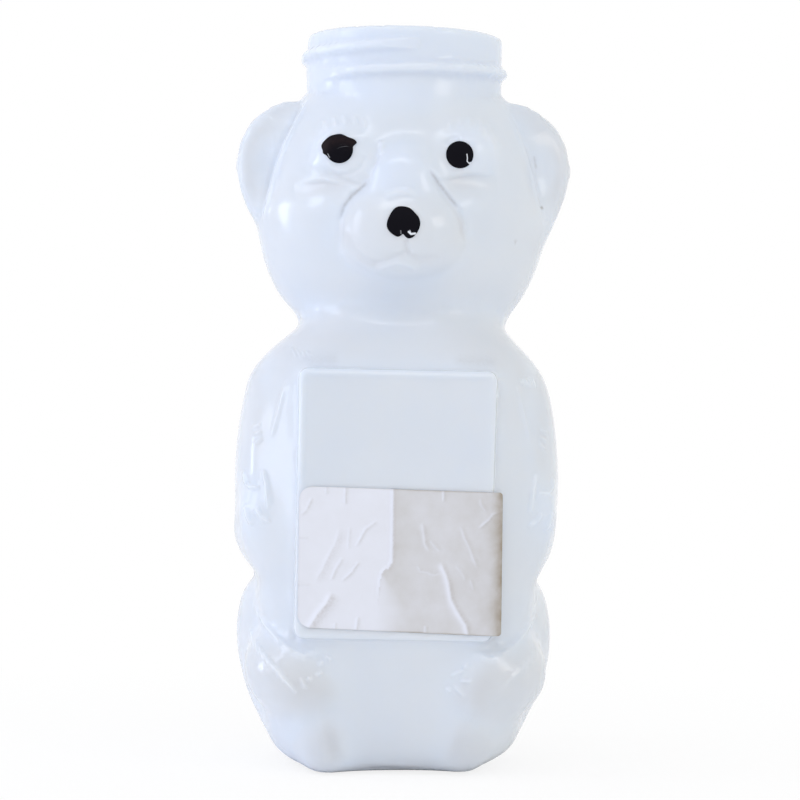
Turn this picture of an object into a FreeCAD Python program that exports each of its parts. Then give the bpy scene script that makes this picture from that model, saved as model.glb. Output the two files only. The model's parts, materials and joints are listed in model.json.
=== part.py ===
import FreeCAD, Part
import math
import os

import Sketcher

# A squeeze bottle in the shape of a sitting bear, with an open threaded neck,
# printed eyes and nose, and a paper label on its raised belly panel.
# The front looks along -Y, Z is up, and the base stands on Z = 0.

SIZES = (
    ("wall", 1.0, "moulded wall"),
    # neck finish
    ("neck_radius", 17.5, "outer radius of the neck"),
    ("neck_wall", 2.0, "wall of the neck, thicker than the body"),
    ("neck_rise", 31.5, "lip above the middle of the head"),
    ("thread_pitch", 4.23, "pitch of the neck thread"),
    ("thread_turns", 1.19, "turns of the neck thread"),
    ("thread_depth", 1.1, "thread crest above the neck wall"),
    ("thread_root_width", 2.5, "width of the thread at its root"),
    ("thread_crest_width", 1.1, "width of the thread at its crest"),
    ("thread_bite", 0.4, "thread root sunk into the neck wall"),
    ("thread_drop", 8.2, "start of the thread below the lip"),
    ("thread_start_angle", 207.6, "bearing of the thread start from +X"),
    # head
    ("head_rise", 20.0, "middle of the head above the waist"),
    ("head_back_shift", 1.5, "middle of the head behind the bottle axis"),
    ("head_half_width", 26.5, "head, half width"),
    ("head_half_depth", 24.0, "head, half depth"),
    ("head_half_height", 28.4, "head, half height"),
    # ears
    ("ear_set_in", 6.4, "middle of the ear inside the side of the head"),
    ("ear_rise", 7.6, "middle of the ear above the middle of the head"),
    ("ear_forward", 3.0, "middle of the ear in front of the bottle axis"),
    ("ear_half_width", 10.5, "ear, half width"),
    ("ear_half_depth", 5.4, "ear, half depth"),
    ("ear_half_height", 12.0, "ear, half height"),
    ("ear_dish_out", 5.5, "middle of the dish outside the middle of the ear"),
    ("ear_dish_half_width", 3.6, "dish in the ear, half width"),
    ("ear_dish_half_depth", 3.0, "dish in the ear, half depth"),
    ("ear_dish_half_height", 7.4, "dish in the ear, half height"),
    ("ear_dish_lift", 0.6, "middle of the dish in front of the ear face"),
    # muzzle and nose bridge
    ("muzzle_drop", 5.0, "middle of the muzzle below the middle of the head"),
    ("muzzle_set_in", 2.8, "middle of the muzzle behind the face"),
    ("muzzle_half_width", 11.4, "muzzle, half width"),
    ("muzzle_half_depth", 7.6, "muzzle, half depth"),
    ("muzzle_half_height", 8.4, "muzzle, half height"),
    ("bridge_rise", 1.6, "middle of the nose bridge above the middle of the head"),
    ("bridge_set_in", 2.6, "middle of the nose bridge behind the face"),
    ("bridge_half_width", 7.4, "nose bridge, half width"),
    ("bridge_half_depth", 5.0, "nose bridge, half depth"),
    ("bridge_half_height", 9.2, "nose bridge, half height"),
    # eyes
    ("eye_out", 10.3, "eye from the middle plane"),
    ("eye_rise", 8.8, "eye above the middle of the head"),
    ("eye_mound_set_in", 2.9, "middle of the eye mound under the face"),
    ("eye_mound_half_width", 6.0, "eye mound, half width"),
    ("eye_mound_half_depth", 4.6, "eye mound, half depth"),
    ("eye_mound_half_height", 5.6, "eye mound, half height"),
    # body, from the base up to the throat
    ("base_half_width", 17.2, "body at the base, half width"),
    ("base_front", 17.4, "body at the base, front"),
    ("base_back", 17.6, "body at the base, back"),
    ("base_flat", 5.5, "body at the base, half length of its straight sides"),
    ("heel_height", 3.2, "height of the heel section"),
    ("heel_half_width", 21.2, "body at the heels, half width"),
    ("heel_front", 20.2, "body at the heels, front"),
    ("heel_back", 20.8, "body at the heels, back"),
    ("heel_flat", 7.0, "body at the heels, half length of its straight sides"),
    ("seat_height", 12.0, "height of the seat section"),
    ("seat_half_width", 22.6, "body at the seat, half width"),
    ("seat_front", 23.0, "body at the seat, front"),
    ("seat_back", 24.6, "body at the seat, back"),
    ("seat_flat", 9.0, "body at the seat, half length of its straight sides"),
    ("belly_height", 34.0, "height of the belly section"),
    ("belly_half_width", 25.6, "body at the belly, half width"),
    ("belly_front", 24.5, "body at the belly, front"),
    ("belly_back", 26.2, "body at the belly, back"),
    ("belly_flat", 12.5, "body at the belly, half length of its straight sides"),
    ("chest_drop", 27.5, "chest section below the waist"),
    ("chest_half_width", 26.2, "body at the chest, half width"),
    ("chest_front", 24.5, "body at the chest, front"),
    ("chest_back", 26.6, "body at the chest, back"),
    ("chest_flat", 12.5, "body at the chest, half length of its straight sides"),
    ("breast_drop", 15.5, "breast section below the waist"),
    ("breast_half_width", 25.0, "body at the breast, half width"),
    ("breast_front", 24.2, "body at the breast, front"),
    ("breast_back", 25.6, "body at the breast, back"),
    ("breast_flat", 11.5, "body at the breast, half length of its straight sides"),
    ("shoulder_drop", 8.0, "shoulder section below the waist"),
    ("shoulder_half_width", 24.0, "body at the shoulders, half width"),
    ("shoulder_front", 22.6, "body at the shoulders, front"),
    ("shoulder_back", 22.9, "body at the shoulders, back"),
    ("shoulder_flat", 8.5, "body at the shoulders, half length of its straight sides"),
    ("waist_height", 79.5, "height of the waist between body and head"),
    ("waist_half_width", 18.5, "body at the waist, half width"),
    ("waist_front", 17.7, "body at the waist, front"),
    ("waist_back", 18.7, "body at the waist, back"),
    ("waist_flat", 4.5, "body at the waist, half length of its straight sides"),
    ("throat_rise", 5.5, "throat section above the waist"),
    ("throat_half_width", 17.6, "body at the throat, half width"),
    ("throat_front", 16.8, "body at the throat, front"),
    ("throat_back", 17.8, "body at the throat, back"),
    ("throat_flat", 4.0, "body at the throat, half length of its straight sides"),
    # hips, thighs and shins
    ("hip_height", 22.6, "middle of the hips above the base"),
    ("hip_back_shift", 0.6, "middle of the hips behind the bottle axis"),
    ("hip_half_width", 28.7, "hips, half width"),
    ("hip_half_depth", 22.8, "hips, half depth"),
    ("hip_half_height", 27.8, "hips, half height"),
    ("thigh_out", 16.0, "middle of the thigh from the middle plane"),
    ("thigh_height", 16.2, "middle of the thigh above the base"),
    ("thigh_set_back", 10.2, "middle of the thigh behind the front of the seat"),
    ("thigh_half_width", 11.6, "thigh, half width"),
    ("thigh_half_depth", 13.4, "thigh, half depth"),
    ("thigh_half_height", 8.6, "thigh, half height"),
    ("thigh_tilt", 24.0, "slope of the thigh, up to the outside"),
    ("shin_out", 11.8, "middle of the shin from the middle plane"),
    ("shin_height", 8.5, "middle of the shin above the base"),
    ("shin_set_back", 8.9, "middle of the shin behind the front of the seat"),
    ("shin_half_width", 7.2, "shin, half width"),
    ("shin_half_depth", 9.2, "shin, half depth"),
    ("shin_half_height", 10.0, "shin, half height"),
    # arms and paws
    ("arm_set_in", 4.1, "middle of the arm inside the side of the chest"),
    ("arm_height", 52.0, "middle of the arm above the base"),
    ("arm_forward", 5.5, "middle of the arm in front of the bottle axis"),
    ("arm_half_width", 7.2, "arm, half width"),
    ("arm_half_depth", 14.0, "arm, half depth"),
    ("arm_half_height", 21.6, "arm, half height"),
    ("arm_lean", 9.0, "lean of the arm, hand to the front"),
    ("paw_set_in", 3.3, "middle of the paw inside the side of the chest"),
    ("paw_height", 46.0, "middle of the paw above the base"),
    ("paw_set_back", 10.0, "middle of the paw behind the front of the chest"),
    ("paw_half_width", 5.4, "paw, half width"),
    ("paw_half_depth", 6.4, "paw, half depth"),
    ("paw_half_height", 7.4, "paw, half height"),
    # base and label panel
    ("pushup_depth", 1.3, "hollow under the base"),
    ("pushup_half_width", 12.0, "hollow under the base, half width"),
    ("pushup_half_depth", 12.5, "hollow under the base, half depth"),
    ("panel_relief", 1.1, "panel in front of the belly"),
    ("panel_half_width", 17.9, "panel, half width"),
    ("panel_bottom", 24.0, "lower edge of the panel above the base"),
    ("panel_top_drop", 8.9, "upper edge of the panel below the waist"),
    ("panel_root", 12.0, "depth of the panel into the belly"),
    ("panel_corner", 1.6, "corners of the panel"),
    ("panel_edge", 0.7, "rounded front edge of the panel"),
    # ink and paper
    ("ink_film", 0.15, "printed ink"),
    ("eye_print_radius", 2.45, "printed eye"),
    ("smear_rise", 1.7, "middle of the smear above the middle of the eye"),
    ("smear_half_width", 3.1, "smear over the left eye, half width"),
    ("smear_half_height", 1.5, "smear over the left eye, half height"),
    ("nose_rise", 1.3, "middle of the printed nose above the middle of the muzzle"),
    ("nose_half_width", 2.95, "printed nose, half width"),
    ("nose_half_height", 3.05, "printed nose, half height"),
    ("paper_thickness", 0.15, "paper of the label"),
    ("label_height", 25.2, "label, bottom to top"),
    ("label_corner", 2.4, "corners of the label"),
    ("label_margin", 0.05, "bare flat of the panel round the label"),
)

STATIONS = (
    ("base", "0"),
    ("heel", "dims.heel_height"),
    ("seat", "dims.seat_height"),
    ("belly", "dims.belly_height"),
    ("chest", "dims.waist_height - dims.chest_drop"),
    ("breast", "dims.waist_height - dims.breast_drop"),
    ("shoulder", "dims.waist_height - dims.shoulder_drop"),
    ("waist", "dims.waist_height"),
    ("throat", "dims.waist_height + dims.throat_rise"),
)
SIDES = (("left", "-"), ("right", ""))

HEAD_Z = "dims.waist_height + dims.head_rise"
LIP_Z = f"{HEAD_Z} + dims.neck_rise"
FACE_Y = "dims.head_back_shift - dims.head_half_depth"
EYE_Z = f"{HEAD_Z} + dims.eye_rise"
EYE_BULGE = "1 - (dims.eye_out / dims.head_half_width)^2 - (dims.eye_rise / dims.head_half_height)^2"
EYE_FACE_Y = f"dims.head_back_shift - dims.head_half_depth * sqrt({EYE_BULGE})"
EAR_X = "dims.head_half_width - dims.ear_set_in"
EAR_Z = f"{HEAD_Z} + dims.ear_rise"
MUZZLE_Z = f"{HEAD_Z} - dims.muzzle_drop"
PANEL_FRONT = "max(dims.belly_front; dims.chest_front) + dims.panel_relief"
PANEL_TOP = "dims.waist_height - dims.panel_top_drop"
LABEL_HALF = "dims.panel_half_width - dims.panel_edge - dims.label_margin"
LABEL_BOTTOM = "dims.panel_bottom + dims.panel_edge + dims.label_margin"


def vector(x, y, z=0.0):
    return FreeCAD.Vector(x, y, z)


def write_sizes(doc):
    sheet = doc.addObject("Spreadsheet::Sheet", "dims")
    for row, (alias, value, meaning) in enumerate(SIZES, 1):
        sheet.set(f"A{row}", meaning)
        sheet.set(f"B{row}", str(value))
        sheet.setAlias(f"B{row}", alias)
    doc.recompute()
    return sheet


def bind(item, **expressions):
    for name, expression in expressions.items():
        item.setExpression(name, expression)


def place(item, centre, axis=None, turn="0"):
    if axis is not None:
        item.Placement = FreeCAD.Placement(vector(0, 0), FreeCAD.Rotation(axis, 1.0))
        item.setExpression("Placement.Rotation.Angle", turn)
    for letter, expression in zip("xyz", centre):
        item.setExpression(f"Placement.Base.{letter}", expression)


def half_sizes(name):
    return tuple(f"dims.{name}_half_{way}" for way in ("width", "depth", "height"))


def ellipsoid(doc, name, halves, centre, grow="0", axis=None, turn="0"):
    # A rounded form, given by its half width, depth and height.
    form = doc.addObject("Part::Ellipsoid", name)
    for radius, half in zip(("Radius2", "Radius3", "Radius1"), halves):
        form.setExpression(radius, f"{half} + {grow}")
    place(form, centre, axis, turn)
    return form


def fuse(doc, name, forms):
    fused = doc.addObject("Part::MultiFuse", name)
    fused.Shapes = forms
    fused.Refine = False
    return fused


def pair(doc, kind, name, base, tool):
    # A cut or a common of two forms.
    result = doc.addObject(f"Part::{kind}", name)
    result.Base = base
    result.Tool = tool
    return result


def rounded_loop(sketch, extents, corner, expressions):
    # Four straight sides joined by four tangent corners. The extents are the
    # starting distances of the sides from the origin: left, right, low, high.
    left, right, low, high = extents
    corners = (
        ((right - corner, corner - low), 270),
        ((right - corner, high - corner), 0),
        ((corner - left, high - corner), 90),
        ((corner - left, corner - low), 180),
    )
    sides = (
        ((corner - left, -low), (right - corner, -low)),
        ((right, corner - low), (right, high - corner)),
        ((right - corner, high), (corner - left, high)),
        ((-left, high - corner), (-left, corner - low)),
    )
    loop = []
    for (start, end), (middle, angle) in zip(sides, corners):
        loop.append(sketch.addGeometry(Part.LineSegment(vector(*start), vector(*end)), False))
        circle = Part.Circle(vector(*middle), vector(0, 0, 1), corner)
        arc = Part.ArcOfCircle(circle, math.radians(angle), math.radians(angle + 90))
        loop.append(sketch.addGeometry(arc, False))
    rule = Sketcher.Constraint
    for first, second in zip(loop, loop[1:] + loop[:1]):
        sketch.addConstraint(rule("Tangent", first, 2, second, 1))
    for line in (loop[0], loop[4]):
        sketch.addConstraint(rule("Horizontal", line))
    for line in (loop[2], loop[6]):
        sketch.addConstraint(rule("Vertical", line))
    for arc in (loop[3], loop[5], loop[7]):
        sketch.addConstraint(rule("Equal", loop[1], arc))
    named = (
        ("left", rule("DistanceX", loop[6], 1, -1, 1, left)),
        ("right", rule("DistanceX", -1, 1, loop[2], 1, right)),
        ("low", rule("DistanceY", loop[0], 1, -1, 1, low)),
        ("high", rule("DistanceY", -1, 1, loop[4], 1, high)),
        ("corner", rule("Radius", loop[1], corner)),
    )
    for (name, constraint), expression in zip(named, expressions):
        sketch.renameConstraint(sketch.addConstraint(constraint), name)
        sketch.setExpression(f"Constraints.{name}", expression)


def body_section(doc, tag, sheet, station, height, inset):
    # One level of the body: a rounded rectangle, drawn in by the inset.
    words = ("half_width", "front", "back", "flat")
    half, front, back, flat = (sheet.get(f"{station}_{word}") for word in words)
    width = f"dims.{station}_half_width - {inset}"
    low = f"dims.{station}_front - {inset}"
    high = f"dims.{station}_back - {inset}"
    corner = f"min({width}; ({low} + {high}) / 2) - dims.{station}_flat"
    sketch = doc.addObject("Sketcher::SketchObject", f"{tag}_{station}_section")
    start_corner = min(half, (front + back) / 2) - flat
    rounded_loop(sketch, (half, half, front, back), start_corner, (width, width, low, high, corner))
    sketch.setExpression("Placement.Base.z", height)
    return sketch


def body_core(doc, tag, sheet, inset):
    core = doc.addObject("Part::Loft", f"{tag}_core")
    core.Sections = [body_section(doc, tag, sheet, name, height, inset) for name, height in STATIONS]
    core.Solid = True
    return core


def head_form(doc, tag, grow):
    return ellipsoid(doc, f"{tag}_head", half_sizes("head"), ("0", "dims.head_back_shift", HEAD_Z), grow)


def muzzle_form(doc, tag, grow):
    centre = ("0", f"{FACE_Y} + dims.muzzle_set_in", MUZZLE_Z)
    return ellipsoid(doc, f"{tag}_muzzle", half_sizes("muzzle"), centre, grow)


def bridge_form(doc):
    centre = ("0", f"{FACE_Y} + dims.bridge_set_in", f"{HEAD_Z} + dims.bridge_rise")
    return ellipsoid(doc, "nose_bridge", half_sizes("bridge"), centre)


def eye_mound(doc, tag, sign, grow="0"):
    # The mound stands on the face, out from the middle and up from it.
    centre = (f"{sign}dims.eye_out", f"{EYE_FACE_Y} + dims.eye_mound_set_in", EYE_Z)
    return ellipsoid(doc, f"{tag}_eye_mound", half_sizes("eye_mound"), centre, grow)


def ear_form(doc, tag, sign, grow):
    centre = (f"{sign}({EAR_X})", "-dims.ear_forward", EAR_Z)
    return ellipsoid(doc, f"{tag}_ear", half_sizes("ear"), centre, grow)


def ear_dish(doc, tag, sign, grow):
    front = "dims.ear_forward + dims.ear_half_depth + dims.ear_dish_lift"
    centre = (f"{sign}({EAR_X} + dims.ear_dish_out)", f"-({front})", EAR_Z)
    return ellipsoid(doc, f"{tag}_ear_dish", half_sizes("ear_dish"), centre, grow)


def hip_form(doc, tag, grow):
    centre = ("0", "dims.hip_back_shift", "dims.hip_height")
    return ellipsoid(doc, f"{tag}_hips", half_sizes("hip"), centre, grow)


def leg_forms(doc, tag, sign, grow):
    thigh = (f"{sign}dims.thigh_out", "dims.thigh_set_back - dims.seat_front", "dims.thigh_height")
    shin = (f"{sign}dims.shin_out", "dims.shin_set_back - dims.seat_front", "dims.shin_height")
    slope = "dims.thigh_tilt" if sign == "-" else "-dims.thigh_tilt"
    return [
        ellipsoid(doc, f"{tag}_thigh", half_sizes("thigh"), thigh, grow, vector(0, 1), slope),
        ellipsoid(doc, f"{tag}_shin", half_sizes("shin"), shin, grow),
    ]


def arm_form(doc, tag, sign, grow):
    centre = (f"{sign}(dims.chest_half_width - dims.arm_set_in)", "-dims.arm_forward", "dims.arm_height")
    return ellipsoid(doc, f"{tag}_arm", half_sizes("arm"), centre, grow, vector(1, 0), "dims.arm_lean")


def paw_form(doc, tag, sign):
    side = f"{sign}(dims.chest_half_width - dims.paw_set_in)"
    centre = (side, "dims.paw_set_back - dims.chest_front", "dims.paw_height")
    return ellipsoid(doc, f"{tag}_paw", half_sizes("paw"), centre)


def outline_on_xz(body, name, extents, corner, expressions):
    # A rounded outline on the upright plane of a body.
    sketch = body.newObject("Sketcher::SketchObject", name)
    plane = next(item for item in body.Origin.OriginFeatures if item.Role == "XZ_Plane")
    sketch.AttachmentSupport = [(plane, "")]
    sketch.MapMode = "FlatFace"
    rounded_loop(sketch, extents, corner, expressions)
    return sketch


def padded(body, name, sketch, length, inward):
    pad = body.newObject("PartDesign::Pad", name)
    pad.Profile = sketch
    pad.Reversed = inward
    pad.setExpression("Length", length)
    body.setExpression("Placement.Base.y", f"-({PANEL_FRONT})")
    return pad


def panel_form(doc):
    # The flat pad on the belly, with rounded corners and a rounded front edge.
    body = doc.addObject("PartDesign::Body", "panel_form")
    half = "dims.panel_half_width"
    sides = (half, half, "-dims.panel_bottom", PANEL_TOP, "dims.panel_corner")
    sketch = outline_on_xz(body, "panel_outline", (18.0, 18.0, -24.0, 70.0), 3.0, sides)
    pad = padded(body, "panel_pad", sketch, "dims.panel_root", True)
    doc.recompute()
    front = min(pad.Shape.Faces, key=lambda face: face.CenterOfMass.y)
    edges = [
        f"Edge{number}"
        for number, edge in enumerate(pad.Shape.Edges, 1)
        if any(edge.isSame(rim) for rim in front.Edges)
    ]
    rounding = body.newObject("PartDesign::Fillet", "panel_rounding")
    rounding.Base = (pad, edges)
    rounding.setExpression("Radius", "dims.panel_edge")
    return body


def panel_hollow(doc):
    # The inside of the pad, a wall smaller all round.
    hollow = doc.addObject("Part::Box", "panel_hollow")
    bind(
        hollow,
        Length="2 * (dims.panel_half_width - dims.wall)",
        Width="dims.panel_root",
        Height=f"{PANEL_TOP} - dims.panel_bottom - 2 * dims.wall",
    )
    back = f"dims.wall - ({PANEL_FRONT})"
    place(hollow, ("dims.wall - dims.panel_half_width", back, "dims.panel_bottom + dims.wall"))
    return hollow


def upright_cylinder(doc, name, radius, height):
    # A round form that rises from the middle of the head.
    cylinder = doc.addObject("Part::Cylinder", name)
    bind(cylinder, Radius=radius, Height=height)
    place(cylinder, ("0", "0", HEAD_Z))
    return cylinder


def ground_block(doc, name, top):
    # Everything under a level, wide enough for the whole bottle.
    block = doc.addObject("Part::Box", name)
    reach = "(dims.hip_half_width + dims.hip_half_depth)"
    bind(block, Length=f"2 * {reach}", Width=f"2 * {reach}", Height="dims.hip_half_height")
    place(block, (f"-{reach}", f"-{reach}", f"{top} - dims.hip_half_height"))
    return block


def base_hollow(doc, name, grow):
    halves = ("dims.pushup_half_width", "dims.pushup_half_depth", "dims.pushup_depth")
    return ellipsoid(doc, name, halves, ("0", "0", "0"), grow)


def outer_form(doc, sheet):
    forms = [body_core(doc, "outer", sheet, "0"), head_form(doc, "outer", "0")]
    forms += [hip_form(doc, "outer", "0"), muzzle_form(doc, "outer", "0"), bridge_form(doc), panel_form(doc)]
    forms.append(upright_cylinder(doc, "neck", "dims.neck_radius", "dims.neck_rise"))
    removed = [ground_block(doc, "ground", "0"), base_hollow(doc, "base_hollow", "0")]
    for side, sign in SIDES:
        forms += leg_forms(doc, f"outer_{side}", sign, "0")
        forms.append(ear_form(doc, f"outer_{side}", sign, "0"))
        forms.append(eye_mound(doc, f"outer_{side}", sign))
        forms.append(arm_form(doc, f"outer_{side}", sign, "0"))
        forms.append(paw_form(doc, f"outer_{side}", sign))
        removed.append(ear_dish(doc, f"outer_{side}", sign, "0"))
    solid = fuse(doc, "outer_solid", forms)
    return pair(doc, "Cut", "outer_form", solid, fuse(doc, "outer_removed", removed))


def inner_form(doc, sheet):
    # The space for the contents, a wall inside the main outer forms.
    forms = [body_core(doc, "inner", sheet, "dims.wall"), head_form(doc, "inner", "-dims.wall")]
    forms += [hip_form(doc, "inner", "-dims.wall"), muzzle_form(doc, "inner", "-dims.wall")]
    forms.append(panel_hollow(doc))
    kept = [ground_block(doc, "floor", "dims.wall"), base_hollow(doc, "floor_rise", "dims.wall")]
    for side, sign in SIDES:
        forms += leg_forms(doc, f"inner_{side}", sign, "-dims.wall")
        forms.append(ear_form(doc, f"inner_{side}", sign, "-dims.wall"))
        forms.append(arm_form(doc, f"inner_{side}", sign, "-dims.wall"))
        kept.append(ear_dish(doc, f"inner_{side}", sign, "dims.wall"))
    return pair(doc, "Cut", "inner_form", fuse(doc, "inner_solid", forms), fuse(doc, "inner_kept", kept))


def thread_profile(doc):
    # The ridge cut through at its start: wide at the root, narrow at the crest.
    profile = doc.addObject("Sketcher::SketchObject", "thread_profile")
    corners = ((17.1, -1.4), (18.6, -0.55), (18.6, 0.55), (17.1, 1.4))
    lines = []
    for first, second in zip(corners, corners[1:] + corners[:1]):
        lines.append(profile.addGeometry(Part.LineSegment(vector(*first), vector(*second)), False))
    rule = Sketcher.Constraint
    for first, second in zip(lines, lines[1:] + lines[:1]):
        profile.addConstraint(rule("Coincident", first, 2, second, 1))
    for line in (lines[1], lines[3]):
        profile.addConstraint(rule("Symmetric", line, 1, line, 2, -1))
    named = (
        ("crest", rule("DistanceY", lines[1], 1, lines[1], 2, 1.1), "dims.thread_crest_width"),
        ("root", rule("DistanceY", lines[3], 2, lines[3], 1, 2.8), "dims.thread_root_width"),
        ("inner", rule("DistanceX", -1, 1, lines[3], 1, 17.1), "dims.neck_radius - dims.thread_bite"),
        ("outer", rule("DistanceX", -1, 1, lines[1], 1, 18.6), "dims.neck_radius + dims.thread_depth"),
    )
    for name, constraint, expression in named:
        profile.renameConstraint(profile.addConstraint(constraint), name)
        profile.setExpression(f"Constraints.{name}", expression)
    profile.Placement = FreeCAD.Placement(vector(0, 0), FreeCAD.Rotation(vector(1, 0), 90))
    return profile


def thread_ridge(doc):
    # One right-hand ridge with sloping flanks, rooted in the neck wall.
    path = doc.addObject("Part::Helix", "thread_path")
    rise = "dims.thread_pitch * dims.thread_turns"
    bind(path, Radius="dims.neck_radius", Pitch="dims.thread_pitch", Height=rise)
    ridge = doc.addObject("Part::Sweep", "thread_ridge")
    ridge.Sections = [thread_profile(doc)]
    ridge.Spine = (path, [])
    ridge.Solid = True
    ridge.Frenet = True
    place(ridge, ("0", "0", f"{LIP_Z} - dims.thread_drop"), vector(0, 0, 1), "dims.thread_start_angle")
    return ridge


def bottle_body(doc, sheet):
    bore = upright_cylinder(doc, "neck_bore", "dims.neck_radius - dims.neck_wall", "2 * dims.neck_rise")
    contents = fuse(doc, "contents_space", [inner_form(doc, sheet), bore])
    shell = pair(doc, "Cut", "shell", outer_form(doc, sheet), contents)
    return fuse(doc, "bottle", [shell, thread_ridge(doc)])


def eye_print(doc, side, sign, smeared):
    # A film on the eye mound, trimmed to the printed disc and its smear.
    name = f"{side}_eye_print"
    face = [eye_mound(doc, f"{name}_under", sign), head_form(doc, f"{name}_under", "0")]
    under = fuse(doc, f"{name}_under", face)
    film = pair(doc, "Cut", f"{name}_film", eye_mound(doc, f"{name}_film", sign, "dims.ink_film"), under)
    front = f"{EYE_FACE_Y} + dims.eye_mound_set_in - dims.eye_mound_half_depth"
    middle = f"{sign}dims.eye_out"
    disc = ("dims.eye_print_radius", "dims.eye_mound_half_depth", "dims.eye_print_radius")
    stamp = ellipsoid(doc, f"{name}_disc", disc, (middle, front, EYE_Z))
    if smeared:
        strip = ("dims.smear_half_width", "dims.eye_mound_half_depth", "dims.smear_half_height")
        smear = ellipsoid(doc, f"{name}_smear", strip, (middle, front, f"{EYE_Z} + dims.smear_rise"))
        stamp = fuse(doc, f"{name}_stamp", [stamp, smear])
    return pair(doc, "Common", name, film, stamp)


def nose_print(doc):
    # A film on the tip of the muzzle, trimmed to an oval.
    film = pair(
        doc,
        "Cut",
        "nose_film",
        muzzle_form(doc, "nose_film", "dims.ink_film"),
        muzzle_form(doc, "nose_under", "0"),
    )
    front = f"{FACE_Y} + dims.muzzle_set_in - dims.muzzle_half_depth"
    oval = ("dims.nose_half_width", "dims.muzzle_half_depth", "dims.nose_half_height")
    stamp = ellipsoid(doc, "nose_oval", oval, ("0", front, f"{MUZZLE_Z} + dims.nose_rise"))
    return pair(doc, "Common", "nose_print", film, stamp)


def label_body(doc):
    # The paper, as wide as the flat of the panel and lying on its front.
    body = doc.addObject("PartDesign::Body", "paper_label")
    top = f"{LABEL_BOTTOM} + dims.label_height"
    sides = (LABEL_HALF, LABEL_HALF, f"-({LABEL_BOTTOM})", top, "dims.label_corner")
    sketch = outline_on_xz(body, "label_outline", (17.0, 17.0, -24.0, 50.0), 2.4, sides)
    padded(body, "label_pad", sketch, "dims.paper_thickness", False)
    return body


def check(doc, pieces):
    for item in doc.Objects:
        if "Invalid" in item.State or "Error" in item.State:
            raise RuntimeError(f"{item.Name} did not compute: {item.getStatusString()}")
    for piece in pieces:
        if piece.Shape.isNull() or not piece.Shape.isValid() or len(piece.Shape.Solids) != 1:
            raise RuntimeError(f"{piece.Label} is not one valid solid")


def main():
    os.makedirs("parts", exist_ok=True)
    doc = FreeCAD.newDocument("bear_bottle")
    sheet = write_sizes(doc)
    pieces = [bottle_body(doc, sheet), nose_print(doc), label_body(doc)]
    pieces += [eye_print(doc, side, sign, side == "left") for side, sign in SIDES]
    doc.recompute()
    check(doc, pieces)
    for piece in pieces:
        piece.Shape.exportStep(f"parts/{piece.Label}.step")
        middle = piece.Shape.CenterOfGravity.x
        print(f"{piece.Label}: {piece.Shape.Volume:.1f} cubic mm, centred {middle:+.3f} mm")


main()
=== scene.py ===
"""The looks of a squeeze bottle shaped like a sitting bear.

The moulded skin, the printed eyes and nose and the paper label are modelled
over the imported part, in metres, with the front along -Y and Z up. Sizes are
written in millimetres.
"""

from __future__ import annotations

import json
import logging
import math
from dataclasses import dataclass, replace
from enum import Enum
from typing import Any, Iterable

import bmesh
import bpy
import numpy as np
from mathutils import Matrix, Vector
from mathutils.bvhtree import BVHTree

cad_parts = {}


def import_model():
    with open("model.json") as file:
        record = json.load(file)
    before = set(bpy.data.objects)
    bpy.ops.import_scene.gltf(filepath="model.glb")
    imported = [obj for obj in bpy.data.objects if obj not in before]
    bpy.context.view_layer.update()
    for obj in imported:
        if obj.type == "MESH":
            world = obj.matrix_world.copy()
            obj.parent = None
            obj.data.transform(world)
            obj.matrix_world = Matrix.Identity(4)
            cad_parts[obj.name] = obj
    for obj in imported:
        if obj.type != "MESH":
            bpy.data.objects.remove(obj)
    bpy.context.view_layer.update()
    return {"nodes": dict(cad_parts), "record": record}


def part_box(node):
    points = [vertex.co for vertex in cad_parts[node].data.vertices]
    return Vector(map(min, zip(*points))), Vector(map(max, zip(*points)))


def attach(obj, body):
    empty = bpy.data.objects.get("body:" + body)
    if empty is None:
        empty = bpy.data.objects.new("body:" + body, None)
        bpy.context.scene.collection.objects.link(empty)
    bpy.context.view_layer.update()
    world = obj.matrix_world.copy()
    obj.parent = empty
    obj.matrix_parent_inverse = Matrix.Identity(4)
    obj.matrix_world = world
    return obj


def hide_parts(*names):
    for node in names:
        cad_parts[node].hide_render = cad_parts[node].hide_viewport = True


LOG = logging.getLogger("bear_bottle")
MM = 0.001
TINY = 1e-9
BODY = "root"
WHITE = "FFFFFF"
# the numbers of a mix node's sockets for colours
MIX_FIRST, MIX_SECOND, MIX_RESULT = 6, 7, 2

Point = tuple[float, float]
Line = tuple[Point, ...]
Triple = tuple[float, float, float]
Array = np.ndarray
Mesh = bmesh.types.BMesh
Piece = bpy.types.Object
Material = bpy.types.Material
Tree = bpy.types.NodeTree
Socket = bpy.types.NodeSocket


class Side(Enum):
    """A side of the bear, as the viewer sees it, and its sign along X."""

    LEFT = -1
    RIGHT = 1


class Operation(Enum):
    """What a maths node does with its two numbers."""

    ADD = "ADD"
    MULTIPLY = "MULTIPLY"


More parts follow.
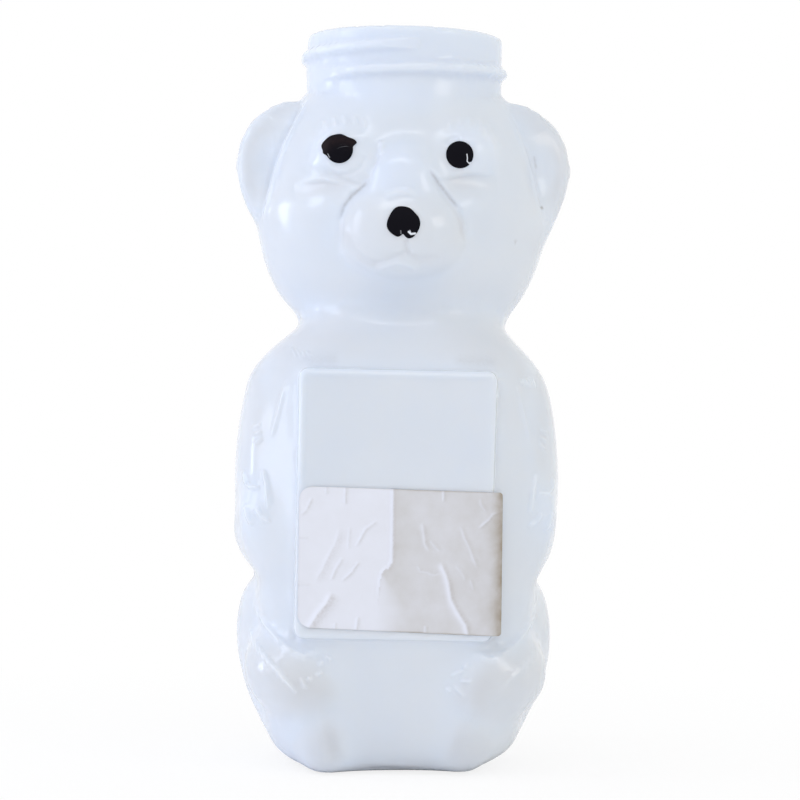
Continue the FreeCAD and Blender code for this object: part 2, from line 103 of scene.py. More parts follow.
@dataclass(frozen=True)
class Stroke:
    """A soft line on the front view, in millimetres across and up.

    The surface rises by ``rise`` on the line, or is cut where that is negative.
    It falls away over ``width`` on the right of the line's direction and over
    ``tail`` on the left, which is the same width unless it is given, and it
    fades out over a share of its length at both ends.
    """

    points: Line
    width: float
    rise: float
    tail: float | None = None
    fade: float = 0.2

    def measure(self, across: Array, up: Array) -> tuple[Array, Array, Array]:
        """How points of the front view lie to the line.

        Args:
            across: the points' places across, in millimetres.
            up: the points' heights, in millimetres.

        Returns:
            The distance from the line, whether it is on the line's left, and
            the share of the line's length that lies before the nearest point.
        """
        nearest = np.full(across.shape, np.inf)
        on_left = np.zeros(across.shape, bool)
        along = np.zeros(across.shape)
        lengths = [math.dist(first, second) for first, second in zip(self.points, self.points[1:])]
        whole = max(sum(lengths), TINY)
        passed = 0.0
        for (x0, z0), (x1, z1), length in zip(self.points, self.points[1:], lengths):
            dx, dz = x1 - x0, z1 - z0
            share = ((across - x0) * dx + (up - z0) * dz) / max(length * length, TINY)
            share = np.clip(share, 0.0, 1.0)
            away = np.hypot(across - x0 - share * dx, up - z0 - share * dz)
            nearer = away < nearest
            nearest = np.where(nearer, away, nearest)
            on_left = np.where(nearer, dx * (up - z0) - dz * (across - x0) > 0.0, on_left)
            along = np.where(nearer, (passed + share * length) / whole, along)
            passed += length
        return nearest, on_left, along

    def strength(self, across: Array, up: Array) -> Array:
        """How strongly the stroke acts on points of the front view.

        Args:
            across: the points' places across, in millimetres.
            up: the points' heights, in millimetres.

        Returns:
            A number from 0 to 1 for each point.
        """
        nearest, on_left, along = self.measure(across, up)
        spread = np.where(on_left, self.tail or self.width, self.width)
        made = np.exp(-((nearest / spread) ** 2))
        if self.fade > 0.0:
            inward = np.clip(np.minimum(along, 1.0 - along) / self.fade, 0.0, 1.0)
            made *= np.sin(inward * math.pi / 2.0)
        return made

    def mirrored(self, share: float) -> Stroke:
        """The same stroke on the other side, at a share of its rise."""
        points = tuple((-x, z) for x, z in reversed(self.points))
        return replace(self, points=points, rise=self.rise * share)


@dataclass(frozen=True)
class Tufts:
    """A row of short fur strokes from one place to another, in millimetres."""

    start: Point
    end: Point
    count: int
    length: float
    lean: Point
    bow: float = 0.0
    width: float = 0.3
    rise: float = 0.3
    fade: float = 0.45

    def strokes(self) -> list[Stroke]:
        """One stroke for each tuft.

        Returns:
            The strokes, which lean evenly from the first to the last.
        """
        made = []
        for number in range(self.count):
            share = number / max(self.count - 1, 1)
            x = self.start[0] + share * (self.end[0] - self.start[0])
            z = self.start[1] + share * (self.end[1] - self.start[1])
            z += self.bow * math.sin(math.pi * share)
            angle = math.radians(self.lean[0] + share * (self.lean[1] - self.lean[0]))
            tip = (x + self.length * math.sin(angle), z - self.length * math.cos(angle))
            made.append(Stroke(((x, z), tip), self.width, self.rise, fade=self.fade))
        return made


@dataclass(frozen=True)
class Push:
    """A soft move of the skin about a place, in millimetres."""

    centre: Triple
    reach: Triple
    shift: Triple

    def moves(self, places: Array) -> Array:
        """How far each place, in millimetres, moves."""
        away = (places - np.array(self.centre)) / np.array(self.reach)
        return np.exp(-np.sum(away**2, axis=1))[:, None] * np.array(self.shift)


def linear(colour: str) -> tuple[float, float, float, float]:
    """An sRGB colour of six hex digits as linear red, green and blue, with full alpha."""
    shares = [int(colour[at : at + 2], 16) / 255.0 for at in (0, 2, 4)]
    return (*(s / 12.92 if s <= 0.04045 else ((s + 0.055) / 1.055) ** 2.4 for s in shares), 1.0)


def add_node(
    tree: Tree,
    kind: str,
    settings: dict[str, Any] | None = None,
    inputs: dict[str | int, Any] | None = None,
) -> bpy.types.Node:
    """Adds a node with its settings and links.

    Args:
        tree: the node tree.
        kind: the node's type name.
        settings: the node's own properties.
        inputs: for each input, a socket to link or a value to set.

    Returns:
        The new node.
    """
    node = tree.nodes.new(kind)
    for name, value in (settings or {}).items():
        setattr(node, name, value)
    for key, value in (inputs or {}).items():
        if isinstance(value, Socket):
            tree.links.new(value, node.inputs[key])
        else:
            node.inputs[key].default_value = value
    return node


def object_place(tree: Tree) -> Socket:
    """Where a point lies on its piece."""
    return add_node(tree, "ShaderNodeTexCoord").outputs["Object"]


def noise(tree: Tree, place: Socket, grain: Point) -> Socket:
    """A soft random number. Its grain is the width of its cells in millimetres and its detail."""
    inputs = {"Vector": place, "Scale": 1.0 / (grain[0] * MM), "Detail": grain[1]}
    return add_node(tree, "ShaderNodeTexNoise", inputs=inputs).outputs["Fac"]


def attribute(tree: Tree, name: str) -> Socket:
    """A number that the piece's vertices carry."""
    return add_node(tree, "ShaderNodeAttribute", {"attribute_name": name}).outputs["Fac"]


def combined(tree: Tree, operation: Operation, first: Socket, second: Socket) -> Socket:
    """The sum or product of two numbers, kept between 0 and 1."""
    settings = {"operation": operation.value, "use_clamp": True}
    return add_node(tree, "ShaderNodeMath", settings, {0: first, 1: second}).outputs[0]


def ranged(tree: Tree, value: Socket, source: Point = (0.0, 1.0), target: Point = (0.0, 1.0)) -> Socket:
    """A number carried from one range to another and kept inside it."""
    limits = zip(("From Min", "From Max", "To Min", "To Max"), (*source, *target))
    return add_node(tree, "ShaderNodeMapRange", inputs={"Value": value, **dict(limits)}).outputs["Result"]


def blend(tree: Tree, share: Socket, first: Any, second: Any) -> Socket:
    """A mix of two colours, the second by its share."""
    inputs = {0: share, MIX_FIRST: first, MIX_SECOND: second}
    return add_node(tree, "ShaderNodeMix", {"data_type": "RGBA"}, inputs).outputs[MIX_RESULT]


def bumped(tree: Tree, height: Socket, bump: Point, under: Socket | None = None) -> Socket:
    """The normals of a relief, perhaps over another one.

    Args:
        tree: the node tree.
        height: the relief's height, from 0 to 1.
        bump: its strength and its depth in millimetres.
        under: the normals that it lies on.

    Returns:
        The bent normals.
    """
    strength, depth = bump
    inputs = {"Strength": strength, "Distance": depth * MM, "Height": height}
    if under:
        inputs["Normal"] = under
    return add_node(tree, "ShaderNodeBump", inputs=inputs).outputs["Normal"]


def new_material(name: str) -> tuple[Material, Tree]:
    """An empty node material.

    Args:
        name: the real material's name.

    Returns:
        The material and its tree.
    """
    material = bpy.data.materials.new(name)
    material.use_nodes = True
    material.node_tree.nodes.clear()
    return material, material.node_tree


def coat(tree: Tree, inputs: dict[str, Any]) -> None:
    """Ends a material's tree with its one surface shader."""
    shader = add_node(tree, "ShaderNodeBsdfPrincipled", inputs=inputs)
    add_node(tree, "ShaderNodeOutputMaterial", inputs={"Surface": shader.outputs["BSDF"]})


@dataclass(frozen=True)
class NaturalPolyethylene:
    """Natural low density polyethylene, blow moulded.

    Unpigmented film of this wall is milky: light sinks in and comes back soft
    and slightly blue, under a smooth moulded gloss with faint flow ripples and
    an orange peel that breaks the highlights up.
    """

    thick: str = "E3E9F1"
    thin: str = "D8E2F3"
    grime: str = "8F8982"
    cloud_grain: Point = (16.0, 2.0)
    speck_grain: Point = (0.6, 3.0)
    speck_source: Point = (0.3, 0.75)
    speck_target: Point = (0.5, 1.0)
    ripple_grain: Point = (5.0, 2.0)
    ripple_bump: Point = (0.12, 0.1)
    peel_grain: Point = (0.7, 1.0)
    peel_bump: Point = (0.07, 0.02)
    roughness: Point = (0.1, 0.18)
    refraction: float = 1.51
    scatter_share: float = 0.6
    scatter_tint: Triple = (0.9, 1.0, 1.1)
    scatter_mm: float = 2.0

    def material(self) -> Material:
        """The finish as a node material.

        Returns:
            The material, which darkens by the attribute grime.
        """
        material, tree = new_material("natural_ldpe_moulded")
        place = object_place(tree)
        cloud = noise(tree, place, self.cloud_grain)
        speck = noise(tree, place, self.speck_grain)
        ripple = noise(tree, place, self.ripple_grain)
        peel = noise(tree, place, self.peel_grain)
        wall = blend(tree, cloud, linear(self.thin), linear(self.thick))
        dots = ranged(tree, speck, self.speck_source, self.speck_target)
        soiled = combined(tree, Operation.MULTIPLY, dots, attribute(tree, "grime"))
        flow = bumped(tree, ripple, self.ripple_bump)
        looks = {
            "Base Color": blend(tree, soiled, wall, linear(self.grime)),
            "Roughness": ranged(tree, ripple, target=self.roughness),
            "IOR": self.refraction,
            "Subsurface Weight": self.scatter_share,
            "Subsurface Radius": self.scatter_tint,
            "Subsurface Scale": self.scatter_mm * MM,
            "Normal": bumped(tree, peel, self.peel_bump, flow),
        }
        coat(tree, looks)
        return material


@dataclass(frozen=True)
class BlackInk:
    """Black printing ink on polyethylene: a thin satin film that smears and scratches off, with a painted
    highlight drawn among the scratches.
    """

    film: str = "07060F"
    smear: str = "24191B"
    # the bare plastic, also the colour of a painted highlight on the left eye's rim
    bare_and_glint: str = "E3E8EF"
    streak_grain: Point = (0.35, 4.0)
    streak_shape: Triple = (0.35, 1.0, 1.6)
    streak_bump: Point = (0.2, 0.04)
    scratch_source: Point = (0.35, 0.7)
    roughness: Point = (0.35, 0.55)
    refraction: float = 1.5
    sheen: float = 0.08

    def material(self) -> Material:
        """The finish as a node material.

        Returns:
            The material, which shows the smear and the scratches, with a painted highlight among the
            scratches.
        """
        material, tree = new_material("black_printing_ink")
        inputs = {"Vector": object_place(tree), "Scale": self.streak_shape}
        drawn = add_node(tree, "ShaderNodeMapping", inputs=inputs).outputs["Vector"]
        streak = noise(tree, drawn, self.streak_grain)
        rubbed = combined(tree, Operation.MULTIPLY, streak, attribute(tree, "smear"))
        ink = blend(tree, rubbed, linear(self.film), linear(self.smear))
        # real scratches and a painted highlight, both shown in the bare colour
        scratched_and_glint = ranged(tree, attribute(tree, "wear_and_glint"), self.scratch_source)
        looks = {
            "Base Color": blend(tree, scratched_and_glint, ink, linear(self.bare_and_glint)),
            "Roughness": ranged(tree, streak, target=self.roughness),
            "IOR": self.refraction,
            "Specular IOR Level": self.sheen,
            "Normal": bumped(tree, streak, self.streak_bump),
        }
        coat(tree, looks)
        return material


@dataclass(frozen=True)
class AgedPaper:
    """Uncoated label paper, aged: matt fibres and a browned edge, with painted shade behind the fold, painted
    shadow beside the fold and creases, and painted highlight on the creases' lit flanks.
    """

    # the first colour is the paper fully lit, which the lit flanks of creases get as painted highlight; the
    # second is painted shade, partly the paper's own greyer tone; the fourth tints the painted shadow beside
    # fold and creases
    lit_paper: str = "EFF3FF"
    shaded: str = "CCCBCB"
    browned: str = "8E7C60"
    crease_shadow_tint: str = "AFA9A6"
    stain_grain: Point = (3.0, 6.0)
    stain_target: Point = (0.7, 1.3)
    fibre_grain: Point = (0.45, 3.0)
    fibre_bump: Point = (0.25, 0.05)
    roughness: float = 0.72
    refraction: float = 1.45
    sheen: float = 0.25

    def material(self) -> Material:
        """The finish as a node material.

        Returns:
            The material, which shows the attribute shade as painted shade and highlight, the age, and the
            attribute crease as painted shadow.
        """
        material, tree = new_material("aged_label_paper")
        place = object_place(tree)
        stain = noise(tree, place, self.stain_grain)
        fibre = noise(tree, place, self.fibre_grain)
        uneven = ranged(tree, stain, target=self.stain_target)
        # painted shade and highlight, carried by the attribute shade
        greyed = combined(tree, Operation.MULTIPLY, uneven, attribute(tree, "shade"))
        colour = blend(tree, greyed, linear(self.lit_paper), linear(self.shaded))
        # crease carries painted shadow beside the fold and creases; age is the paper's real browning
        for name, pattern, tint in (("age", stain, self.browned), ("crease", fibre, self.crease_shadow_tint)):
            share = combined(tree, Operation.MULTIPLY, pattern, attribute(tree, name))
            colour = blend(tree, share, colour, linear(tint))
        looks = {
            "Base Color": colour,
            "Roughness": self.roughness,
            "IOR": self.refraction,
            "Specular IOR Level": self.sheen,
            "Normal": bumped(tree, fibre, self.fibre_bump),
        }
        coat(tree, looks)
        return material


def places_of(mesh: Mesh) -> Array:
    """The places of a mesh's vertices, in millimetres, one row each."""
    return np.array([vert.co for vert in mesh.verts]) / MM


def centres_of(mesh: Mesh) -> Array:
    """The middles of a mesh's faces, in millimetres, one row each."""
    return np.array([face.calc_center_median() for face in mesh.faces]) / MM


def normals_of(mesh: Mesh) -> Array:
    """The normals of a mesh's vertices, one row each."""
    mesh.normal_update()
    return np.array([vert.normal for vert in mesh.verts])


def write_places(mesh: Mesh, places: Array) -> None:
    """Moves a mesh's vertices to places in millimetres."""
    for vert, place in zip(mesh.verts, places * MM):
        vert.co = place


def soften(mesh: Mesh, inside: Array | None, passes: int) -> None:
    """Smooths a mesh or some of its vertices.

    Args:
        mesh: the mesh to smooth.
        inside: one truth value for each vertex, or none to smooth them all.
        passes: how many times each vertex moves half way to its neighbours.
    """
    verts = list(mesh.verts)
    if inside is not None:
        verts = [vert for vert, inner in zip(verts, inside) if inner]
    axes = {"use_axis_x": True, "use_axis_y": True, "use_axis_z": True}
    for _ in range(passes):
        bmesh.ops.smooth_vert(mesh, verts=verts, factor=0.5, **axes)


def thicken(mesh: Mesh, thickness: float) -> None:
    """Turns an open sheet to the front and makes it a closed film.

    Args:
        mesh: the sheet.
        thickness: the film's thickness, in millimetres.
    """
    bmesh.ops.recalc_face_normals(mesh, faces=mesh.faces)
    if sum(face.normal.y for face in mesh.faces) > 0.0:
        bmesh.ops.reverse_faces(mesh, faces=mesh.faces)
    bmesh.ops.solidify(mesh, geom=mesh.faces, thickness=-thickness * MM)
    bmesh.ops.recalc_face_normals(mesh, faces=mesh.faces)


def new_piece(name: str, mesh: Mesh, material: Material) -> Piece:
    """Makes a smooth-shaded object of a finished mesh and frees the mesh.

    Args:
        name: the piece's name.
        mesh: its shape, in place.
        material: its finish.

    Returns:
        The object, linked to the scene.
    """
    data = bpy.data.meshes.new(name)
    mesh.to_mesh(data)
    mesh.free()
    data.polygons.foreach_set("use_smooth", [True] * len(data.polygons))
    data.materials.append(material)
    piece = bpy.data.objects.new(name, data)
    bpy.context.scene.collection.objects.link(piece)
    return piece


def write_attribute(piece: Piece, name: str, values: Array) -> None:
    """Gives a piece's vertices a named number each."""
    layer = piece.data.attributes.new(name, "FLOAT", "POINT")
    layer.data.foreach_set("value", values.astype(np.float32))


def dress(piece: Piece, node: str) -> None:
    """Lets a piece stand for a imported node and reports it.

    Args:
        piece: the finished piece.
        node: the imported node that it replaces.
    """
    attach(piece, BODY)
    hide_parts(node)
    triangles = sum(len(face.vertices) - 2 for face in piece.data.polygons)
    LOG.info("%s stands for %s, %d triangles", piece.name, node, triangles)


def modified(mesh: Mesh, kind: str, settings: dict[str, Any]) -> Mesh:
    """What a modifier makes of a mesh.

    Args:
        mesh: the mesh, which is freed.
        kind: the modifier's type name.
        settings: the modifier's properties.

    Returns:
        The new mesh.
    """
    data = bpy.data.meshes.new("blank")
    mesh.to_mesh(data)
    mesh.free()
    blank = bpy.data.objects.new("blank", data)
    bpy.context.scene.collection.objects.link(blank)
    modifier = blank.modifiers.new("shaping", kind)
    for name, value in settings.items():
        setattr(modifier, name, value)
    shaped = bpy.data.meshes.new_from_object(blank.evaluated_get(bpy.context.evaluated_depsgraph_get()))
    made = bmesh.new()
    made.from_mesh(shaped)
    for spare in (shaped, data):
        bpy.data.meshes.remove(spare)
    return made


def both_sides(strokes: Iterable[Stroke], share: float) -> list[Stroke]:
    """Strokes of the left side and their mirror images, at a share of the rise."""
    left = list(strokes)
    return left + [stroke.mirrored(share) for stroke in left]


def strongest(strokes: Iterable[Stroke], across: Array, up: Array) -> Array:
    """The strongest mark that strokes leave on each point of the front view."""
    marks = [stroke.rise * stroke.strength(across, up) for stroke in strokes]
    return np.max([np.zeros(len(up)), *marks], axis=0)


@dataclass(frozen=True)
class EarLines:
    """The raised rim of each ear, the crease where it meets the head and a ridge beside that."""

    crease: Stroke = Stroke(
        ((-18.1, 119.1), (-19.8, 115.4), (-21.9, 110.9), (-23.7, 105.8), (-25.0, 100.2), (-25.9, 96.1)),
        width=0.6, rise=-0.45,
    )
    rim: Stroke = Stroke(
        (
            (-19.5, 118.8), (-23.4, 117.2), (-27.0, 114.0), (-28.9, 110.2),
            (-29.2, 106.6), (-28.5, 102.7), (-27.2, 99.5), (-25.9, 96.4),
        ),
        width=0.8, rise=0.42,
    )
    ridge_in: float = 0.8
    ridge_width: float = 0.36
    ridge_rise: float = 0.45
    right_share: float = 0.25

    def strokes(self) -> list[Stroke]:
        """The lines of both ears, fainter on the right.

        Returns:
            The strokes.
        """
        inward = tuple((x + self.ridge_in, z) for x, z in self.crease.points)
        ridge = Stroke(inward, self.ridge_width, self.ridge_rise)
        return both_sides([self.crease, ridge, self.rim], self.right_share)


@dataclass(frozen=True)
class FaceLines:
    """The brows, lids, muzzle and mouth."""

    brow: Tufts = Tufts((-14.5, 114.3), (-7.7, 114.6), 5, 2.2, (10.0, 10.0), bow=0.8, width=0.36, rise=0.22)
    right_share: float = 0.4
    lids: tuple[Stroke, ...] = (
        Stroke(
            ((-15.3, 106.4), (-14.1, 105.1), (-12.1, 104.2), (-9.8, 104.5), (-8.1, 105.6), (-7.3, 107.8)),
            width=0.45, rise=-0.2,
        ),
        Stroke(
            (
                (-16.5, 104.9), (-13.6, 104.2), (-10.5, 103.2), (-8.4, 102.8),
                (-6.7, 104.2), (-5.6, 106.6), (-5.0, 109.8),
            ),
            width=0.55, rise=-0.36, tail=0.9,
        ),
        Stroke(((-4.6, 107.6), (-4.4, 110.4)), width=0.45, rise=0.3),
        Stroke(((6.4, 109.8), (7.5, 111.0), (9.2, 111.3)), width=0.45, rise=-0.2),
    )
    pouches: tuple[Stroke, ...] = (
        Stroke(((5.0, 103.2), (10.4, 104.5), (15.9, 104.8)), width=2.4, rise=-0.6, tail=0.5, fade=0.5),
        Stroke(((-19.6, 102.5), (-14.3, 103.0), (-9.6, 102.0)), width=2.0, rise=-0.5, tail=0.5, fade=0.5),
    )
    muzzle: tuple[Stroke, ...] = (
        Stroke(
            (
                (-5.6, 104.6), (-7.5, 102.3), (-9.4, 100.7), (-10.8, 98.8),
                (-11.6, 96.4), (-11.7, 93.8), (-11.5, 90.6),
            ),
            width=0.55, rise=-0.42, tail=0.9,
        ),
        Stroke(
            ((3.6, 105.6), (5.3, 103.3), (6.5, 101.8), (8.1, 99.9), (9.3, 98.3), (10.2, 96.0), (10.4, 93.0)),
            width=0.9, rise=-0.42, tail=0.55,
        ),
        Stroke(((-4.0, 100.2), (-2.0, 101.1), (-0.1, 101.3), (1.6, 100.6)), width=0.55, rise=0.22),
        Stroke(((-10.6, 94.3), (-9.5, 91.4), (-7.5, 89.5), (-5.2, 88.4), (-3.4, 88.6)), 0.7, -0.22),
    )
    mouth: tuple[Stroke, ...] = (
        Stroke(((-0.3, 93.0), (0.1, 91.2), (0.0, 90.2)), width=0.55, rise=-0.2),
        Stroke(
            ((-6.8, 88.7), (-3.8, 88.9), (-1.6, 90.1), (-0.3, 90.4), (0.4, 90.2), (2.3, 89.5), (5.8, 90.2)),
            width=0.6, rise=-0.22,
        ),
        Stroke(((-5.4, 88.0), (-2.5, 88.8), (-1.1, 89.0), (0.5, 88.6), (2.3, 87.8)), width=0.6, rise=0.26),
    )

    def strokes(self) -> list[Stroke]:
        """The lines of the face, most of them different on its two sides."""
        brows = both_sides(self.brow.strokes(), self.right_share)
        return [*brows, *self.lids, *self.pouches, *self.muzzle, *self.mouth]


@dataclass(frozen=True)
class ArmLines:
    """The shoulder fur, the edge of each arm and its fingers."""

    edge: Stroke = Stroke(
        ((-20.1, 68.4), (-20.3, 67.4), (-21.3, 63.3), (-22.6, 58.4)), width=0.3, rise=0.26, tail=0.4
    )
    fingers: tuple[Line, ...] = (
        ((-27.3, 52.4), (-26.8, 50.4), (-26.0, 49.6), (-24.3, 49.7)),
        ((-23.9, 52.9), (-23.2, 50.1), (-22.8, 46.0)),
        ((-26.9, 46.6), (-26.4, 44.6), (-25.6, 43.0)),
        ((-25.0, 46.2), (-24.0, 44.7), (-22.4, 43.7)),
    )
    finger_width: float = 0.36
    finger_rise: float = 0.46
    forearm_fur: Tufts = Tufts((-26.1, 60.0), (-25.6, 57.2), 3, 1.9, (112.0, 126.0), rise=0.32)
    right_share: float = 0.7
    shoulder_left: Tufts = Tufts((-19.4, 74.2), (-17.0, 73.8), 4, 2.2, (24.0, 30.0), width=0.2, rise=0.22)
    shoulder_right: Tufts = Tufts((20.6, 69.8), (22.8, 69.8), 4, 2.0, (26.0, 20.0), rise=0.28)

    def strokes(self) -> list[Stroke]:
        """The lines of both arms, fainter on the right, and of the shoulders.

        Returns:
            The strokes.
        """
        fingers = [Stroke(line, self.finger_width, self.finger_rise) for line in self.fingers]
        arms = both_sides([self.edge, *fingers, *self.forearm_fur.strokes()], self.right_share)
        return arms + self.shoulder_left.strokes() + self.shoulder_right.strokes()


@dataclass(frozen=True)
class LegLines:
    """The fold over each thigh, the fur on thigh and knee, and the inside of the shin."""

    fold: Stroke = Stroke(
        (
            (-25.2, 28.8), (-24.4, 27.5), (-22.5, 25.3), (-20.1, 22.8),
            (-18.4, 21.8), (-16.1, 20.9), (-14.3, 21.4), (-12.3, 21.8),
        ),
        width=0.5, rise=0.42,
    )
    shin: Stroke = Stroke(((-12.3, 12.0), (-11.6, 8.6), (-11.0, 6.6), (-9.6, 2.0)), width=1.1, rise=-0.16)
    right_share: float = 0.8
    thigh_fur: Tufts = Tufts((-25.6, 24.2), (-18.8, 17.0), 9, 2.9, (14.0, 32.0), rise=0.36)
    thigh_right_share: float = 0.35
    knee_fur: tuple[Line, ...] = (
        ((-12.5, 21.2), (-11.2, 20.2)), ((-13.7, 19.5), (-12.6, 20.2)), ((-14.1, 17.9), (-12.8, 18.1)),
        ((-16.6, 17.5), (-15.5, 15.2)), ((-15.3, 17.6), (-14.7, 16.6)),
        ((9.2, 17.8), (11.7, 19.1)), ((10.9, 17.2), (13.0, 17.2)), ((9.8, 16.5), (11.8, 14.4)),
        ((11.3, 19.5), (12.5, 20.1)), ((8.6, 15.9), (9.3, 15.1)),
    )
    knee_width: float = 0.3
    knee_rise: float = 0.34
    knee_fade: float = 0.45

    def strokes(self) -> list[Stroke]:
        """The lines of both legs, fainter on the right.

        Returns:
            The strokes.
        """
        legs = both_sides([self.fold, self.shin], self.right_share)
        thighs = both_sides(self.thigh_fur.strokes(), self.thigh_right_share)
        knees = [Stroke(line, self.knee_width, self.knee_rise, fade=self.knee_fade) for line in self.knee_fur]
        return legs + thighs + knees


@dataclass(frozen=True)
class PanelLines:
    """The bead along the top and the left edge of the belly panel."""

    top: Stroke = Stroke(((-16.9, 69.8), (15.9, 69.8)), width=0.42, rise=0.4, fade=0.1)
    left: Stroke = Stroke(((-17.3, 69.4), (-17.3, 51.0)), width=0.42, rise=0.22, fade=0.15)

    def strokes(self) -> list[Stroke]:
        """The two beads."""
        return [self.top, self.left]


@dataclass
class BottleSkin:
    """The moulded skin: one shell with an outer and an inner wall.

    The crisp stretches are the neck and the panel, given by a height over the
    neck's foot and a margin round the panel. The thread's ends are a bearing,
    a height and the turn towards its middle. The bore's wall reaches so far
    outside its radius, first for the finer mesh and then for the join. The
    panel's border is made finer so far inwards and outwards. A line needs a
    surface that faces the front a little, and is full from the second value.
    """

    lip: float
    bore_radius: float
    bore_depth: float
    bore_slack: float = 0.05
    bore_margin: float = 1.0
    bore_wall: Point = (0.5, 0.9)
    below_bore: float = 2.5
    seam_drop: float = 8.5
    seam_gap: float = 0.4
    neck_foot: float = 117.6
    neck_radius: float = 17.5
    thread_rise: float = 1.15
    thread_half: float = 1.9
    thread_ends: tuple[tuple[float, float, int], ...] = ((9.5, 126.9, -1), (-59.0, 122.4, 1))
    taper_turn: float = 30.0
    taper_search: float = 45.0
    panel_half: float = 17.9
    panel_low: float = 24.0
    panel_high: float = 70.6
    panel_depth: float = 22.5
    face_half: float = 18.0
    face_heights: Point = (86.0, 116.5)
    face_depth: float = 12.0
    voxel: float = 1.05
    inner_share: float = 0.22
    weld: float = 0.002
    cut: float = 0.0001
    first_crisp: Point = (1.0, 0.6)
    settled_crisp: Point = (1.6, 0.4)
    rough_passes: int = 9
    form_passes: int = 5
    last_passes: int = 2
    border_passes: int = 4
    border_soft: float = 1.6
    border_line: float = 1.2
    border_fine: Point = (2.5, 2.0)
    line_reaches: Point = (2.0, 1.1)
    line_least: float = 0.4
    line_back: float = 2.0
    line_facing: Point = (0.05, 0.35)
    face_least: float = 0.12
    soil_facing: float = 0.1
    reliefs: tuple[Any, ...] = (EarLines(), FaceLines(), ArmLines(), LegLines(), PanelLines())

    grime: tuple[Stroke, ...] = (
        # over the panel
        Stroke(((-17.6, 71.7), (-11.0, 72.3)), 0.9, 0.13),
        Stroke(((8.6, 72.3), (16.6, 72.4)), 0.9, 0.13),
        # beside the muzzle
        Stroke(((-6.4, 103.6), (-7.5, 102.3), (-9.4, 100.7), (-10.8, 98.8), (-11.4, 96.6)), 0.28, 0.48),
        Stroke(((3.8, 105.2), (5.3, 103.3), (6.5, 101.8), (8.1, 99.9), (9.0, 98.8)), 0.28, 0.42),
        # specks by the right ear
        Stroke(((24.5, 100.0), (24.9, 100.5)), 0.25, 0.9),
        Stroke(((19.8, 93.1), (19.9, 93.7)), 0.2, 1.2),
        Stroke(((23.1, 109.6), (23.6, 107.2)), 0.2, 0.35),
    )

    pushes: tuple[Push, ...] = (
        # the face sits a little to the left of the body's middle
        Push((0.0, -22.0, 100.0), (17.0, 14.0, 16.0), (-0.7, 0.0, 0.0)),
        # cheeks under the eyes
        Push((-14.2, -19.5, 99.2), (5.0, 8.0, 2.6), (0.0, -0.9, 0.1)),
        Push((11.2, -19.5, 99.4), (4.2, 8.0, 2.6), (0.0, -0.9, 0.1)),
        # the throat under the chin
        Push((-1.0, -20.0, 85.6), (9.0, 8.0, 3.4), (0.0, -0.9, 0.0)),
        # the right side of the panel stands further in
        Push((17.9, -25.0, 47.0), (5.0, 4.0, 70.0), (-1.9, 0.0, 0.0)),
        # the forehead runs smoothly into the neck
        Push((1.0, -18.5, 117.3), (14.0, 6.0, 3.3), (0.0, -1.0, 0.0)),
        # the neck and the tops of the ears
        Push((-17.5, 0.0, 125.0), (8.0, 20.0, 6.0), (-0.4, 0.0, 0.0)),
        Push((-22.0, -3.0, 118.3), (4.0, 8.0, 2.5), (0.2, 0.0, -0.4)),
        Push((19.3, -1.5, 119.6), (1.8, 6.0, 2.0), (0.1, 0.0, 0.35)),
        # the ears run down into the cheeks
        Push((-26.5, -3.0, 98.6), (5.0, 14.0, 2.4), (-0.6, 0.0, 0.0)),
        Push((26.5, -3.0, 97.4), (5.0, 14.0, 3.2), (0.9, 0.0, 0.0)),
        # the waist
        Push((-19.5, 1.0, 78.7), (9.0, 18.0, 3.2), (1.45, 0.0, 0.0)),
        Push((19.5, 1.0, 77.2), (9.0, 18.0, 3.2), (-0.85, 0.0, 0.0)),
        # shoulders and arms
        Push((-25.5, -3.0, 70.6), (8.0, 18.0, 5.5), (-0.7, 0.0, 0.0)),
        Push((28.5, -5.0, 59.5), (8.0, 20.0, 12.0), (-0.58, 0.0, 0.0)),
        Push((-28.5, -5.0, 40.2), (7.0, 18.0, 4.2), (-0.95, 0.0, 0.0)),
        Push((28.5, -5.0, 40.0), (7.0, 18.0, 4.0), (0.35, 0.0, 0.0)),
        # the notch between arm and hip
        Push((-26.5, -2.0, 33.4), (7.0, 18.0, 2.2), (1.2, 0.0, 0.0)),
        Push((26.5, -2.0, 33.7), (7.0, 18.0, 2.0), (-0.95, 0.0, 0.0)),
        # the hollow between each thigh and the panel is shallow
        Push((-17.0, -22.0, 20.8), (4.0, 4.0, 2.4), (0.0, -0.6, 0.0)),
        Push((15.5, -22.0, 20.6), (4.0, 4.0, 2.4), (0.0, -0.6, 0.0)),
        # hips and heels
        Push((-27.0, 0.0, 16.0), (8.0, 18.0, 7.0), (0.3, 0.0, 0.0)),
        Push((-22.0, -2.0, 5.6), (6.0, 16.0, 2.2), (-0.35, 0.0, 0.0)),
        Push((22.0, -2.0, 6.2), (6.0, 16.0, 2.2), (0.45, 0.0, 0.0)),
        Push((-19.0, -4.0, 0.4), (6.0, 16.0, 2.0), (0.6, 0.0, 0.0)),
        Push((19.0, -6.0, 0.4), (7.0, 16.0, 2.4), (-1.6, 0.0, 0.0)),
        # the left foot stands forward and the base is arched beside it
        Push((-12.5, -19.0, 1.5), (6.5, 7.0, 5.0), (0.0, -2.4, 0.0)),
        Push((5.0, -19.0, 0.0), (11.0, 6.0, 2.2), (0.0, 0.0, 0.4)),
    )

    def strokes(self) -> list[Stroke]:
        """The lines of the mould: creases, rims, lips and fur."""
        return [stroke for relief in self.reliefs for stroke in relief.strokes()]

    def on_bore(self, vert: bmesh.types.BMVert) -> bool:
        """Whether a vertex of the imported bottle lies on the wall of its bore."""
        off = abs(math.hypot(vert.co.x, vert.co.y) / MM - self.bore_radius)
        return off < self.bore_slack and vert.co.z / MM > self.lip - self.bore_depth - self.bore_margin

